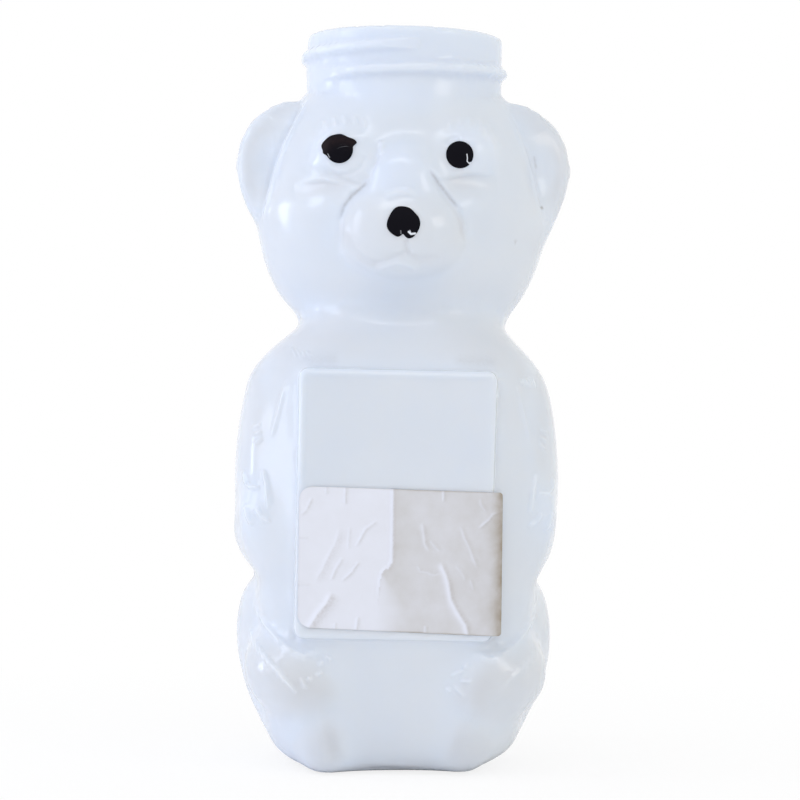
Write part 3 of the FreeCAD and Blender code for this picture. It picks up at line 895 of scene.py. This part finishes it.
    def walls(self, shell: Mesh) -> tuple[Mesh, Mesh]:
        """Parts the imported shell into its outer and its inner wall.

        Args:
            shell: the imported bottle, joined.

        Returns:
            The outer wall with the lip and the bore, and the inner wall under the bore.
        """
        bore = {face.index for face in shell.faces if all(self.on_bore(vert) for vert in face.verts)}
        lowest = min(shell.faces, key=lambda face: face.calc_center_median().z)
        outside, waiting = {lowest.index}, [lowest]
        while waiting:
            face = waiting.pop()
            for edge in face.edges:
                for other in edge.link_faces:
                    if other.index in outside:
                        continue
                    leaves_bore = face.index in bore and other.index not in bore
                    if leaves_bore and edge.verts[0].co.z / MM < self.lip - self.bore_margin:
                        continue
                    outside.add(other.index)
                    waiting.append(other)
        outer, inner = shell.copy(), shell.copy()
        for wall, kept in ((outer, True), (inner, False)):
            dropped = [face for face in wall.faces if (face.index in outside) != kept]
            bmesh.ops.delete(wall, geom=dropped, context="FACES")
        return outer, inner

    def near_panel(self, places: Array, margin: float) -> Array:
        """Which places lie on the belly panel.

        Args:
            places: the places, in millimetres.
            margin: how far beyond the panel's edges still counts.

        Returns:
            One truth value a place.
        """
        x, y, z = places.T
        across = np.abs(x) < self.panel_half + margin
        up = (z > self.panel_low - margin) & (z < self.panel_high + margin)
        return across & up & (y < -self.panel_depth + margin)

    def on_border(self, places: Array, margin: float) -> Array:
        """Which places lie within a margin of the panel's edges."""
        return self.near_panel(places, margin) & ~self.near_panel(places, -margin)

    def crisp(self, places: Array, margins: Point) -> Array:
        """Which places lie on the crisp stretches with these margins."""
        return (places[:, 2] > self.neck_foot + margins[0]) | self.near_panel(places, margins[1])

    def split(self, mesh: Mesh, picked: Array) -> None:
        """Halves the edges of some faces, and leaves no vertex on one edge alone.

        Args:
            mesh: the outer wall.
            picked: one truth value for each face.
        """
        edges = {edge for face, fine in zip(mesh.faces, picked) if fine for edge in face.edges}
        bmesh.ops.subdivide_edges(mesh, edges=list(edges), cuts=1, use_grid_fill=True)
        lone = [vert for vert in mesh.verts if len(vert.link_edges) == 2]
        bmesh.ops.dissolve_verts(mesh, verts=lone)

    def refine_forms(self, mesh: Mesh) -> None:
        """Makes the mesh finer on the neck, the face and the border of the panel.

        Args:
            mesh: the outer wall.
        """
        centres = centres_of(mesh)
        x, y, z = np.abs(centres[:, 0]), centres[:, 1], centres[:, 2]
        in_bore = np.hypot(x, y) < self.bore_radius + self.bore_wall[0]
        fine = (z > self.neck_foot) & ~(in_bore & (z < self.lip - self.seam_drop))
        chin, brow = self.face_heights
        fine |= (x < self.face_half) & (z > chin) & (z < brow) & (y < -self.face_depth)
        inward, outward = self.border_fine
        middle = (x < self.panel_half - inward) & (z > self.panel_low + inward)
        middle &= z < self.panel_high - inward
        fine |= self.near_panel(centres, outward) & ~middle
        self.split(mesh, fine)

    def refine_lines(self, mesh: Mesh) -> None:
        """Makes the mesh finer along the strokes, until they can be drawn.

        Args:
            mesh: the outer wall.
        """
        for reach in self.line_reaches:
            mesh.normal_update()
            centres = centres_of(mesh)
            sizes = np.array([face.calc_area() for face in mesh.faces]) / MM**2
            facing = np.array([face.normal.y for face in mesh.faces]) < -self.line_facing[0]
            drawn_on = facing & (centres[:, 1] < self.line_back) & (sizes > self.face_least)
            places = centres[drawn_on]
            near = self.on_border(places, self.border_line)
            for stroke in self.strokes():
                away, _, _ = stroke.measure(places[:, 0], places[:, 2])
                near |= away < reach * max(stroke.width, self.line_least)
            picked = np.zeros(len(centres), bool)
            picked[drawn_on] = near
            self.split(mesh, picked)

    def settle(self, mesh: Mesh, packed: BVHTree) -> None:
        """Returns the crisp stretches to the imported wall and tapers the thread.

        Args:
            mesh: the outer wall.
            packed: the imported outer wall.
        """
        for vert, keep in zip(mesh.verts, self.crisp(places_of(mesh), self.settled_crisp)):
            if keep:
                vert.co = packed.find_nearest(vert.co)[0]
        for vert in mesh.verts:
            self.taper(vert)

    def taper(self, vert: bmesh.types.BMVert) -> None:
        """Lowers a vertex of the thread that is near one of the thread's ends.

        Args:
            vert: a vertex of the outer wall.
        """
        radius = math.hypot(vert.co.x, vert.co.y)
        if radius < self.neck_radius * MM:
            return
        bearing = math.degrees(math.atan2(vert.co.x, -vert.co.y))
        for end, height, way in self.thread_ends:
            if abs(bearing - end) < self.taper_search and abs(vert.co.z / MM - height) < self.thread_half:
                share = min(max((bearing - end) * way / self.taper_turn, 0.0), 1.0)
                kept = min(radius, (self.neck_radius + self.thread_rise * share) * MM)
                vert.co.xy *= kept / radius

    def shape(self, mesh: Mesh, packed: BVHTree) -> None:
        """Rounds the joins of the forms and brings out the neck and the panel.

        Args:
            mesh: the even mesh of the outer wall.
            packed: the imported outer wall, to which crisp stretches return.
        """
        soften(mesh, ~self.crisp(places_of(mesh), self.first_crisp), self.rough_passes)
        self.refine_forms(mesh)
        crisp = self.crisp(places_of(mesh), self.settled_crisp)
        self.settle(mesh, packed)
        soften(mesh, ~crisp, self.form_passes)
        soften(mesh, None, self.last_passes)
        self.refine_lines(mesh)
        self.settle(mesh, packed)
        soften(mesh, None, self.last_passes)
        soften(mesh, self.on_border(places_of(mesh), self.border_soft), self.border_passes)

    def push(self, mesh: Mesh) -> None:
        """Moves a wall by the soft pushes.

        Args:
            mesh: the outer or the inner wall.
        """
        places = places_of(mesh)
        for push in self.pushes:
            places += push.moves(places)
        write_places(mesh, places)

    def carve(self, mesh: Mesh) -> None:
        """Draws the strokes on the front of the outer wall.

        Args:
            mesh: the outer wall.
        """
        places, normals = places_of(mesh), normals_of(mesh)
        facing = np.clip(-normals[:, 1] / self.line_facing[1], 0.0, 1.0) * (places[:, 1] < self.line_back)
        front = facing > 0.0
        lift = np.zeros(len(places))
        for stroke in self.strokes():
            lift[front] += stroke.rise * stroke.strength(places[front, 0], places[front, 2])
        write_places(mesh, places + normals * (lift * facing)[:, None])

    def soil(self, mesh: Mesh) -> Array:
        """How dirty the skin is, on the front of the outer wall only.

        Args:
            mesh: the whole skin.

        Returns:
            One value a vertex.
        """
        places = places_of(mesh)
        front = (normals_of(mesh)[:, 1] < -self.soil_facing) & (places[:, 1] < 0.0)
        return strongest(self.grime, places[:, 0], places[:, 2]) * front

    def join(self, outer: Mesh, inner: Mesh) -> None:
        """Opens the bore of the outer wall and joins the inner wall to it.

        Args:
            outer: the outer wall, which becomes the whole skin.
            inner: the inner wall, which is freed.
        """
        seam = (self.lip - self.seam_drop) * MM
        rim = [edge for edge in inner.edges if edge.is_boundary]
        raised = bmesh.ops.extrude_edge_only(inner, edges=rim)["geom"]
        for vert in (item for item in raised if isinstance(item, bmesh.types.BMVert)):
            vert.co.z = seam - self.seam_gap * MM
        within = (self.bore_radius + self.bore_wall[1]) * MM
        low = (self.lip - self.bore_depth - self.below_bore) * MM
        faces = []
        for face in outer.faces:
            centre = face.calc_center_median()
            if centre.z > low and math.hypot(centre.x, centre.y) < within:
                faces.append(face)
        geom = list({vert for face in faces for vert in face.verts})
        geom += list({edge for face in faces for edge in face.edges}) + faces
        plane = {"plane_co": (0.0, 0.0, seam), "plane_no": (0.0, 0.0, 1.0)}
        bmesh.ops.bisect_plane(outer, geom=geom, dist=self.cut * MM, clear_inner=True, **plane)
        spare = bpy.data.meshes.new("inner_wall")
        inner.to_mesh(spare)
        inner.free()
        outer.from_mesh(spare)
        bpy.data.meshes.remove(spare)
        bmesh.ops.bridge_loops(outer, edges=[edge for edge in outer.edges if edge.is_boundary])
        bmesh.ops.recalc_face_normals(outer, faces=outer.faces)

    def build(self, node: Piece, material: Material) -> BVHTree:
        """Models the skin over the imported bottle.

        Args:
            node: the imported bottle.
            material: the plastic.

        Returns:
            The skin's outer wall, for what is printed on it.
        """
        shell = bmesh.new()
        shell.from_mesh(node.data)
        bmesh.ops.remove_doubles(shell, verts=shell.verts, dist=self.weld * MM)
        shell.faces.index_update()
        outer, inner = self.walls(shell)
        shell.free()
        packed = BVHTree.FromBMesh(outer)
        bmesh.ops.holes_fill(outer, edges=[edge for edge in outer.edges if edge.is_boundary], sides=0)
        mesh = modified(outer, "REMESH", {"mode": "VOXEL", "voxel_size": self.voxel * MM})
        inner = modified(inner, "DECIMATE", {"ratio": self.inner_share})
        self.shape(mesh, packed)
        self.push(mesh)
        self.push(inner)
        self.carve(mesh)
        surface = BVHTree.FromBMesh(mesh)
        self.join(mesh, inner)
        darkening = self.soil(mesh)
        skin = new_piece("bear_bottle_skin", mesh, material)
        write_attribute(skin, "grime", darkening)
        dress(skin, "bottle")
        return surface


@dataclass(frozen=True)
class Bulge:
    """A swelling of a print's outline, or a dent where negative, about a bearing.

    It spreads over so many degrees, and past the bearing over ``ahead`` of them
    where that is given.
    """

    bearing: float
    height: float
    spread: float
    ahead: float | None = None

    def at(self, bearing: float) -> float:
        """How far the outline swells at a bearing.

        Args:
            bearing: the bearing, in degrees.

        Returns:
            The swelling, in millimetres.
        """
        away = (bearing - self.bearing + 180.0) % 360.0 - 180.0
        spread = self.ahead if self.ahead and away > 0.0 else self.spread
        return self.height * math.exp(-((away / spread) ** 2))


@dataclass(frozen=True)
class InkPrint:
    """A film of ink printed on the skin, drawn about its centre."""

    name: str
    node: str
    centre: Point
    radius: float
    bulges: tuple[Bulge, ...] = ()
    scratches_and_glints: tuple[Stroke, ...] = ()
    smears: tuple[Stroke, ...] = ()
    segments: int = 180
    rings: int = 30
    film: float = 0.07
    gap: float = 0.01
    ahead: float = 100.0

    def reach(self, bearing: float) -> float:
        """The outline's distance from the centre at a bearing in degrees."""
        return self.radius + sum(bulge.at(bearing) for bulge in self.bulges)

    def disc(self) -> Mesh:
        """A flat round sheet of rings, one unit in radius.

        Returns:
            The sheet.
        """
        mesh = bmesh.new()
        bmesh.ops.create_circle(mesh, segments=self.segments, radius=1.0)
        edges = list(mesh.edges)
        for ring in range(1, self.rings):
            grown = bmesh.ops.extrude_edge_only(mesh, edges=edges)["geom"]
            verts = [item for item in grown if isinstance(item, bmesh.types.BMVert)]
            edges = [item for item in grown if isinstance(item, bmesh.types.BMEdge)]
            share = (self.rings - ring) / (self.rings - ring + 1)
            bmesh.ops.scale(mesh, vec=(share, share, share), verts=verts)
        bmesh.ops.contextual_create(mesh, geom=edges)
        return mesh

    def on_skin(self, surface: BVHTree, flat: Vector) -> Vector:
        """Where a point of the disc lies on the skin.

        Args:
            surface: the skin's outer wall.
            flat: the point of the disc.

        Returns:
            The place just in front of the skin.
        """
        reach = self.reach(math.degrees(math.atan2(flat.y, flat.x)))
        across, up = self.centre[0] + reach * flat.x, self.centre[1] + reach * flat.y
        start = Vector((across * MM, -self.ahead * MM, up * MM))
        place, normal, _, _ = surface.ray_cast(start, Vector((0.0, 1.0, 0.0)))
        return place + normal * (self.gap * MM)

    def build(self, surface: BVHTree, material: Material) -> None:
        """Models the film on the skin.

        Args:
            surface: the skin's outer wall.
            material: the ink.
        """
        mesh = self.disc()
        for vert in mesh.verts:
            vert.co = self.on_skin(surface, vert.co)
        thicken(mesh, self.film)
        places = places_of(mesh)
        across, up = places[:, 0] - self.centre[0], places[:, 2] - self.centre[1]
        piece = new_piece(self.name, mesh, material)
        # the scratches hold real wear and, on the left eye, a painted highlight
        write_attribute(piece, "wear_and_glint", strongest(self.scratches_and_glints, across, up))
        write_attribute(piece, "smear", strongest(self.smears, across, up))
        dress(piece, self.node)


PRINTS = (
    InkPrint(
        "left_eye_ink",
        "left_eye_print",
        (-11.8, 108.6),
        2.36,
        bulges=(
            Bulge(166.0, 0.8, 26.0, 22.0),
            Bulge(192.0, 0.3, 7.0, 9.0),
            Bulge(128.0, 0.4, 22.0),
            Bulge(88.0, 0.36, 28.0),
            Bulge(24.0, 0.9, 7.0, 26.0),
        ),
        scratches_and_glints=(
            Stroke(((-0.9, -0.1), (0.1, 0.4), (1.2, 0.6), (2.2, 0.4)), 0.1, 0.42),
            Stroke(((-0.6, 0.4), (0.3, 0.9), (1.5, 1.0)), 0.07, 0.4),
            # painted highlight: the glint on the lower left of the eye's rim, drawn as a scratch in the bare
            # colour
            Stroke(((-2.1, -0.5), (-1.8, -1.2), (-1.5, -1.5)), 0.1, 0.62),
        ),
        smears=(
            Stroke(((-3.0, 0.2), (-1.6, 1.4), (0.2, 1.9), (2.0, 1.5), (3.0, 0.8)), 0.95, 1.2, fade=0.0),
        ),
    ),
    InkPrint(
        "right_eye_ink",
        "right_eye_print",
        (9.1, 108.2),
        2.38,
        bulges=(Bulge(-36.0, -0.3, 4.0),),
        scratches_and_glints=(Stroke(((1.25, 0.1), (1.35, -0.6), (1.3, -1.1), (1.9, -1.7)), 0.1, 1.0, fade=0.0),),
    ),
    InkPrint(
        "nose_ink",
        "nose_print",
        (-0.5, 95.8),
        2.75,
        bulges=(
            Bulge(198.0, 0.3, 25.0),
            Bulge(118.0, 0.2, 20.0),
            Bulge(43.0, -0.25, 25.0),
            Bulge(-95.0, -0.75, 12.0),
            Bulge(-60.0, 0.15, 20.0),
        ),
        scratches_and_glints=(
            Stroke(((0.8, -1.6), (1.2, -1.95), (1.9, -1.85)), 0.24, 0.9, fade=0.0),
            Stroke(((0.9, -1.2), (1.2, -1.7)), 0.1, 0.7),
            Stroke(((-0.6, -1.2), (-0.5, -2.2)), 0.3, 0.44),
        ),
    ),
)


@dataclass
class PaperLabel:
    """The paper label: a blank sheet, creased and lifted a little along its folds.

    A painted shadow or a brown is a strength and the distance over which it
    dies away. What rises, ends or starts is given by a place and the length of the
    change. The fold's blur is the width of its edge and what that gains below.
    The shade behind the fold is painted shade, partly the paper's own greyer
    tone. The shadows beside the fold and creases, and the light on their lit
    flanks, are painted.
    """

    front: float
    top_left: Point = (-17.5, 50.3)
    top_right: Point = (17.5, 49.8)
    low_right: Point = (17.75, 25.05)
    low_left: Point = (-17.35, 26.0)
    half_width: float = 17.3
    half_height: float = 12.4
    columns: int = 170
    rows: int = 124
    corners: tuple[tuple[Side, float], ...] = ((Side.LEFT, 2.4), (Side.RIGHT, 0.6))
    paper: float = 0.09
    glue: float = 0.04
    panel_edge: float = 15.6
    bend: float = 0.26
    # painted shade behind the fold, partly the paper's own greyer tone, with a painted shadow close to the
    # fold
    plain_shade: float = 0.3
    fold_shade: float = 0.45
    fold_blur: Point = (0.3, 5.0)
    fold_shadow: Point = (0.22, 1.2)
    # painted shadow: a thin dark line close behind the fold
    fold_line_shadow: Point = (0.9, 0.25)
    fold_rises: Point = (-8.0, 5.0)
    fold_ends: Point = (-2.5, 6.0)
    line_full: float = 0.2
    line_blur: float = 0.16
    # painted highlight on each crease's lit flank, and painted shadow on its other flank
    line_light: float = 0.8
    line_shadow: float = 0.7
    right_brown: Point = (0.8, 1.2)
    right_fade: Point = (0.5, 2.6)
    edge_brown: Point = (0.8, 0.2)
    edge_starts: Point = (-9.0, 12.0)
    edge_least: float = 0.25
    fold: Stroke = Stroke(
        (
            (-1.4, 14.0), (-1.3, 7.7), (-1.3, 2.0), (-1.4, -0.4), (-2.0, -1.4), (-2.6, -1.6),
            (-3.1, -2.3), (-3.3, -3.5), (-3.5, -4.9), (-4.2, -13.0),
        ),
        width=0.3, rise=0.3, tail=2.2, fade=0.0,
    )
    lines: tuple[Stroke, ...] = (
        # ridges
        Stroke(((-11.5, -6.0), (-12.4, -8.0), (-13.9, -9.9), (-15.6, -13.0)), 0.7, 0.2, 1.2, fade=0.15),
        Stroke(((-10.3, 5.4), (-10.8, 3.1), (-12.1, 0.4), (-13.1, -1.9), (-14.4, -4.4)), 0.4, 0.1, 1.0),
        Stroke(
            (
                (6.9, 0.1), (7.3, -0.9), (7.9, -2.2), (8.3, -3.6),
                (8.8, -6.4), (9.8, -8.3), (11.3, -10.6), (11.9, -13.2),
            ),
            width=0.8, rise=0.2, tail=0.6, fade=0.1,
        ),
        Stroke(((3.7, 6.8), (4.1, 4.2), (4.2, 3.1), (5.0, 1.9)), 0.4, 0.12, 0.6),
        # creases left of the fold
        Stroke(((-8.6, 5.6), (-8.8, 3.0), (-8.8, 1.6)), 0.22, 0.1, 0.3),
        Stroke(((-4.0, 6.8), (-6.0, 5.2), (-6.7, 3.7), (-7.6, 2.1)), 0.25, 0.16, 0.35),
        Stroke(((-9.7, 0.2), (-10.9, -1.8), (-11.7, -4.0)), 0.25, 0.16, 0.35),
        Stroke(((-7.0, -0.4), (-8.3, -2.4), (-9.9, -4.0)), 0.25, 0.16, 0.35),
        Stroke(((-15.1, 10.4), (-16.1, 8.1), (-17.1, 7.3)), 0.25, 0.16, 0.3),
        Stroke(((-9.4, 13.4), (-9.5, 10.6), (-9.4, 9.3)), 0.2, 0.2, 0.3),
        Stroke(((-12.8, 13.4), (-12.6, 11.0)), 0.2, 0.14, 0.25),
        Stroke(((-7.0, -10.0), (-7.4, -13.6)), 0.3, 0.2, 0.25),
        Stroke(((-10.9, -11.2), (-10.9, -13.6)), 0.2, 0.16, 0.25),
        Stroke(((-18.0, 3.2), (-15.4, 3.2)), 0.2, 0.1, 0.2),
        Stroke(((-18.0, -5.0), (-14.9, -5.0)), 0.2, 0.12, 0.2),
        # creases right of the fold
        Stroke(((5.0, 3.8), (6.7, 1.9)), 0.25, 0.12, 0.4),
        Stroke(((2.9, -0.5), (3.5, -1.6), (4.6, -1.7), (5.6, -2.2), (7.0, -1.7)), 0.25, 0.12, 0.25),
        Stroke(((10.2, 6.6), (10.9, 4.5), (11.7, 3.0), (12.4, 1.1), (13.2, -0.9)), 0.3, 0.12, 0.4),
        Stroke(((9.5, -0.4), (10.7, -1.9), (11.2, -3.0)), 0.22, 0.1, 0.3),
        Stroke(((12.0, -2.8), (12.6, -4.6)), 0.22, 0.1, 0.3),
        Stroke(((18.0, 9.5), (15.6, 8.5), (15.0, 7.6), (13.2, 6.0)), 0.25, 0.2, 0.3),
        Stroke(((13.5, 11.4), (13.7, 10.2), (14.7, 9.0)), 0.22, 0.12, 0.3),
        Stroke(((7.3, 13.4), (7.3, 10.5)), 0.25, 0.2, 0.25),
        Stroke(((4.5, -11.0), (4.5, -13.6)), 0.25, 0.18, 0.2),
    )

    def outline(self, across: Array, up: Array) -> tuple[Array, Array]:
        """Rounds the corners of a square grid.

        Args:
            across: the grid's places across, from -1 to 1.
            up: its places up, from -1 to 1.

        Returns:
            The places across and up on the sheet, in millimetres from its middle.
        """
        x, z = across * self.half_width, up * self.half_height
        for side, radius in self.corners:
            here = x * side.value > 0.0
            over_x = np.clip(np.abs(x) - (self.half_width - radius), 0.0, radius) / radius
            over_z = np.clip(np.abs(z) - (self.half_height - radius), 0.0, radius) / radius
            in_x = radius * over_x * (1.0 - np.sqrt(1.0 - over_z**2 / 2.0)) * here
            in_z = radius * over_z * (1.0 - np.sqrt(1.0 - over_x**2 / 2.0)) * here
            x, z = x - np.sign(x) * in_x, z - np.sign(z) * in_z
        return x, z

    def placed(self, x: Array, z: Array) -> tuple[Array, Array]:
        """Where points of the sheet lie on the panel, between its four corners.

        Args:
            x: places across the sheet, in millimetres from its middle.
            z: places up the sheet.

        Returns:
            The places across and up on the bottle, in millimetres.
        """
        right, high = (x / self.half_width + 1.0) / 2.0, (z / self.half_height + 1.0) / 2.0
        corners = np.array((self.low_left, self.low_right, self.top_right, self.top_left))
        shares = ((1 - right) * (1 - high), right * (1 - high), right * high, (1 - right) * high)
        both = sum(share[:, None] * corner for share, corner in zip(shares, corners))
        return both[:, 0], both[:, 1]

    def lift(self, x: Array, z: Array) -> Array:
        """How far the paper stands off its glue.

        Args:
            x: places across the sheet, in millimetres from its middle.
            z: places up the sheet.

        Returns:
            One height a place, in millimetres.
        """
        start, length = self.fold_rises
        made = self.fold.rise * self.fold.strength(x, z) * np.clip((z - start) / length, 0.0, 1.0)
        for line in self.lines:
            made = made + line.rise * line.strength(x, z)
        return made

    def tones(self, x: Array, z: Array) -> tuple[Array, Array]:
        """The paper's painted shade and highlight, and the painted shadow beside its fold and creases.

        Args:
            x: places across the sheet, in millimetres from its middle.
            z: places up the sheet.

        Returns:
            One painted shade and one painted shadow a place.
        """
        away, behind_fold, _ = self.fold.measure(x, z)
        start, length = self.fold_ends
        low = np.clip((start - z) / length, 0.0, 1.0)
        sharp, blur = self.fold_blur
        behind = np.clip(away / (sharp + blur * low), 0.0, 1.0) * behind_fold
        shadow, reach = self.fold_shadow
        # painted shade behind the fold, partly the paper's own greyer tone, with a painted shadow close to it
        shade = self.plain_shade + behind * (self.fold_shade + shadow * (1.0 - low) * np.exp(-away / reach))
        # painted shadow: a thin dark line close behind the fold, kept in crease
        darkening, reach = self.fold_line_shadow
        crease = darkening * behind_fold * np.exp(-away / reach) * (1.0 - low)
        for line in self.lines:
            nearest, on_left, _ = line.measure(x, z)
            there = line.strength(x, z) * min(line.rise / self.line_full, 1.0)
            dark = 0.5 + 0.5 * np.tanh(np.where(on_left, nearest, -nearest) / self.line_blur)
            # painted highlight on each crease's lit flank and painted shadow on the other flank
            shade = shade * (1.0 - self.line_light * there * (1.0 - dark))
            crease = np.maximum(crease, self.line_shadow * there * dark)
        return shade, crease

    def browning(self, x: Array, z: Array) -> Array:
        """How brown the paper is, along its right side and its edges.

        Args:
            x: places across the sheet, in millimetres from its middle.
            z: places up the sheet.

        Returns:
            One value a place.
        """
        to_right = self.half_width - x
        to_edge = np.minimum(self.half_width - np.abs(x), self.half_height - np.abs(z))
        (brown, reach), (faint, far) = self.right_brown, self.right_fade
        age = brown * np.exp(-((to_right / reach) ** 2)) + faint * np.exp(-to_right / far)
        start, length = self.edge_starts
        brown, reach = self.edge_brown
        edged = brown * np.exp(-((to_edge / reach) ** 2))
        return np.maximum(age, edged * np.clip((x - start) / length, self.edge_least, 1.0))

    def build(self, material: Material) -> None:
        """Models the label on the panel.

        Args:
            material: the paper.
        """
        mesh = bmesh.new()
        bmesh.ops.create_grid(mesh, x_segments=self.columns, y_segments=self.rows, size=1.0)
        square = places_of(mesh) * MM
        x, z = self.outline(square[:, 0], square[:, 1])
        across, up = self.placed(x, z)
        past = np.clip(across - self.panel_edge, 0.0, None)
        depth = self.front - self.glue - self.lift(x, z) + self.bend * past**2
        write_places(mesh, np.column_stack((across, depth, up)))
        # shade holds painted shade and highlight, and crease holds painted shadow
        shade, crease = self.tones(x, z)
        looks = {"shade": shade, "age": self.browning(x, z), "crease": crease}
        layers = {name: mesh.verts.layers.float.new(name) for name in looks}
        for name, values in looks.items():
            for vert, value in zip(mesh.verts, values):
                vert[layers[name]] = value
        thicken(mesh, self.paper)
        dress(new_piece("paper_label_sheet", mesh, material), "paper_label")


@dataclass(frozen=True)
class Lamp:
    """A soft rectangular lamp: place and size in millimetres, power in watts."""

    name: str
    place: Triple
    size: Point
    power: float
    colour: str


@dataclass
class Studio:
    """The floor, the soft light and the camera."""

    distance: float = 475.8
    focal_pixels: float = 2621.0
    image_pixels: float = 800.0
    sensor_width: float = 36.0
    clip_metres: Point = (0.01, 10.0)
    azimuth: float = -1.94
    elevation: float = 0.19
    roll: float = 1.22
    target: Triple = (0.33, 0.0, 65.3)
    floor_half: float = 900.0
    floor_cells: int = 4
    floor_roughness: float = 0.9
    floor_near: float = 0.82
    floor_reach: Point = (30.0, 160.0)
    fill: float = 0.95
    fill_left: str = "F6F7FF"
    fill_right: str = "E8E7E0"
    lamps: tuple[Lamp, ...] = (
        Lamp("window_left", (-800.0, 160.0, 85.0), (120.0, 210.0), 0.42, "D2DEFF"),
        Lamp("window_tall", (-776.0, -193.0, 330.0), (240.0, 640.0), 1.16, "DCE6FF"),
        Lamp("skylight", (-90.0, -480.0, 760.0), (620.0, 60.0), 0.45, "F4F7FF"),
        Lamp("room_right", (560.0, -480.0, 420.0), (260.0, 260.0), 0.47, "FFF9F2"),
    )

    def camera(self) -> None:
        """Sets the camera at the photograph's angle."""
        turn, rise = math.radians(self.azimuth), math.radians(self.elevation)
        back = Vector((math.sin(turn) * math.cos(rise), -math.cos(turn) * math.cos(rise), math.sin(rise)))
        data = bpy.data.cameras.new("photo_camera")
        data.sensor_width = self.sensor_width
        data.lens = self.sensor_width * self.focal_pixels / self.image_pixels
        data.clip_start, data.clip_end = self.clip_metres
        camera = bpy.data.objects.new("photo_camera", data)
        camera.location = (Vector(self.target) + back * self.distance) * MM
        camera.rotation_mode = "QUATERNION"
        aim = back.to_track_quat("Z", "Y")
        camera.rotation_quaternion = aim @ Matrix.Rotation(math.radians(self.roll), 4, "Z").to_quaternion()
        bpy.context.scene.collection.objects.link(camera)
        bpy.context.scene.camera = camera

    def hang(self, lamp: Lamp) -> None:
        """Hangs a lamp so that it faces the bottle's middle.

        Args:
            lamp: the lamp.
        """
        data = bpy.data.lights.new(lamp.name, "AREA")
        data.shape = "RECTANGLE"
        data.size, data.size_y = lamp.size[0] * MM, lamp.size[1] * MM
        data.energy = lamp.power
        data.color = linear(lamp.colour)[:3]
        holder = bpy.data.objects.new(lamp.name, data)
        holder.location = Vector(lamp.place) * MM
        to_middle = Vector(self.target) * MM - holder.location
        holder.rotation_mode = "QUATERNION"
        holder.rotation_quaternion = to_middle.to_track_quat("-Z", "Y")
        bpy.context.scene.collection.objects.link(holder)

    def world(self) -> None:
        """White to the camera, in reflections and through the plastic, and a soft fill on surfaces."""
        world = bpy.data.worlds.new("studio_world")
        world.use_nodes = True
        tree = world.node_tree
        tree.nodes.clear()
        path = add_node(tree, "ShaderNodeLightPath")
        seen = path.outputs["Is Camera Ray"]
        for ray in ("Is Glossy Ray", "Is Transmission Ray"):
            seen = combined(tree, Operation.ADD, seen, path.outputs[ray])
        towards = add_node(tree, "ShaderNodeTexCoord").outputs["Generated"]
        side = add_node(tree, "ShaderNodeSeparateXYZ", inputs={0: towards}).outputs["X"]
        soft = blend(tree, ranged(tree, side, (-1.0, 1.0)), linear(self.fill_left), linear(self.fill_right))
        fill = add_node(tree, "ShaderNodeBackground", inputs={"Color": soft, "Strength": self.fill})
        white = add_node(tree, "ShaderNodeBackground", inputs={"Color": linear(WHITE), "Strength": 1.0})
        shaders = {0: seen, 1: fill.outputs[0], 2: white.outputs[0]}
        mixed = add_node(tree, "ShaderNodeMixShader", inputs=shaders)
        add_node(tree, "ShaderNodeOutputWorld", inputs={"Surface": mixed.outputs[0]})
        bpy.context.scene.world = world

    def floor(self) -> None:
        """A plain white floor that keeps the bottle's shadow and is pure white further off."""
        mesh = bmesh.new()
        cells = self.floor_cells
        bmesh.ops.create_grid(mesh, x_segments=cells, y_segments=cells, size=self.floor_half * MM)
        material, tree = new_material("white_floor")
        matt_looks = {"Base Color": linear(WHITE), "Roughness": self.floor_roughness}
        matt = add_node(tree, "ShaderNodeBsdfPrincipled", inputs=matt_looks)
        white = add_node(tree, "ShaderNodeEmission", inputs={"Color": linear(WHITE), "Strength": 1.0})
        away = add_node(tree, "ShaderNodeVectorMath", {"operation": "LENGTH"}, {0: object_place(tree)})
        near, far = self.floor_reach
        bright = ranged(tree, away.outputs["Value"], (near * MM, far * MM), (self.floor_near, 1.0))
        seen = add_node(tree, "ShaderNodeLightPath").outputs["Is Camera Ray"]
        share = combined(tree, Operation.MULTIPLY, seen, bright)
        shaders = {0: share, 1: matt.outputs["BSDF"], 2: white.outputs[0]}
        mixed = add_node(tree, "ShaderNodeMixShader", inputs=shaders)
        add_node(tree, "ShaderNodeOutputMaterial", inputs={"Surface": mixed.outputs[0]})
        new_piece("white_floor", mesh, material)

    def build(self) -> None:
        """Sets up the whole studio."""
        self.floor()
        self.world()
        for lamp in self.lamps:
            self.hang(lamp)
        self.camera()


def main() -> None:
    """Builds the bottle piece by piece."""
    logging.basicConfig(level=logging.INFO, format="%(name)s: %(message)s")
    bpy.context.scene.view_settings.view_transform = "Standard"
    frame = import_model()
    bore = next(mount for mount in frame["record"]["mounts"] if mount["kind"] == "bore")
    skin = BottleSkin(
        lip=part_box("bottle")[1].z / MM,
        bore_radius=bore["dims"]["r_mm"],
        bore_depth=bore["dims"]["length_mm"],
    )
    surface = skin.build(frame["nodes"]["bottle"], NaturalPolyethylene().material())
    ink = BlackInk().material()
    for ink_print in PRINTS:
        ink_print.build(surface, ink)
    PaperLabel(front=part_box("paper_label")[1].y / MM).build(AgedPaper().material())
    Studio().build()


if __name__ == "__main__":
    main()
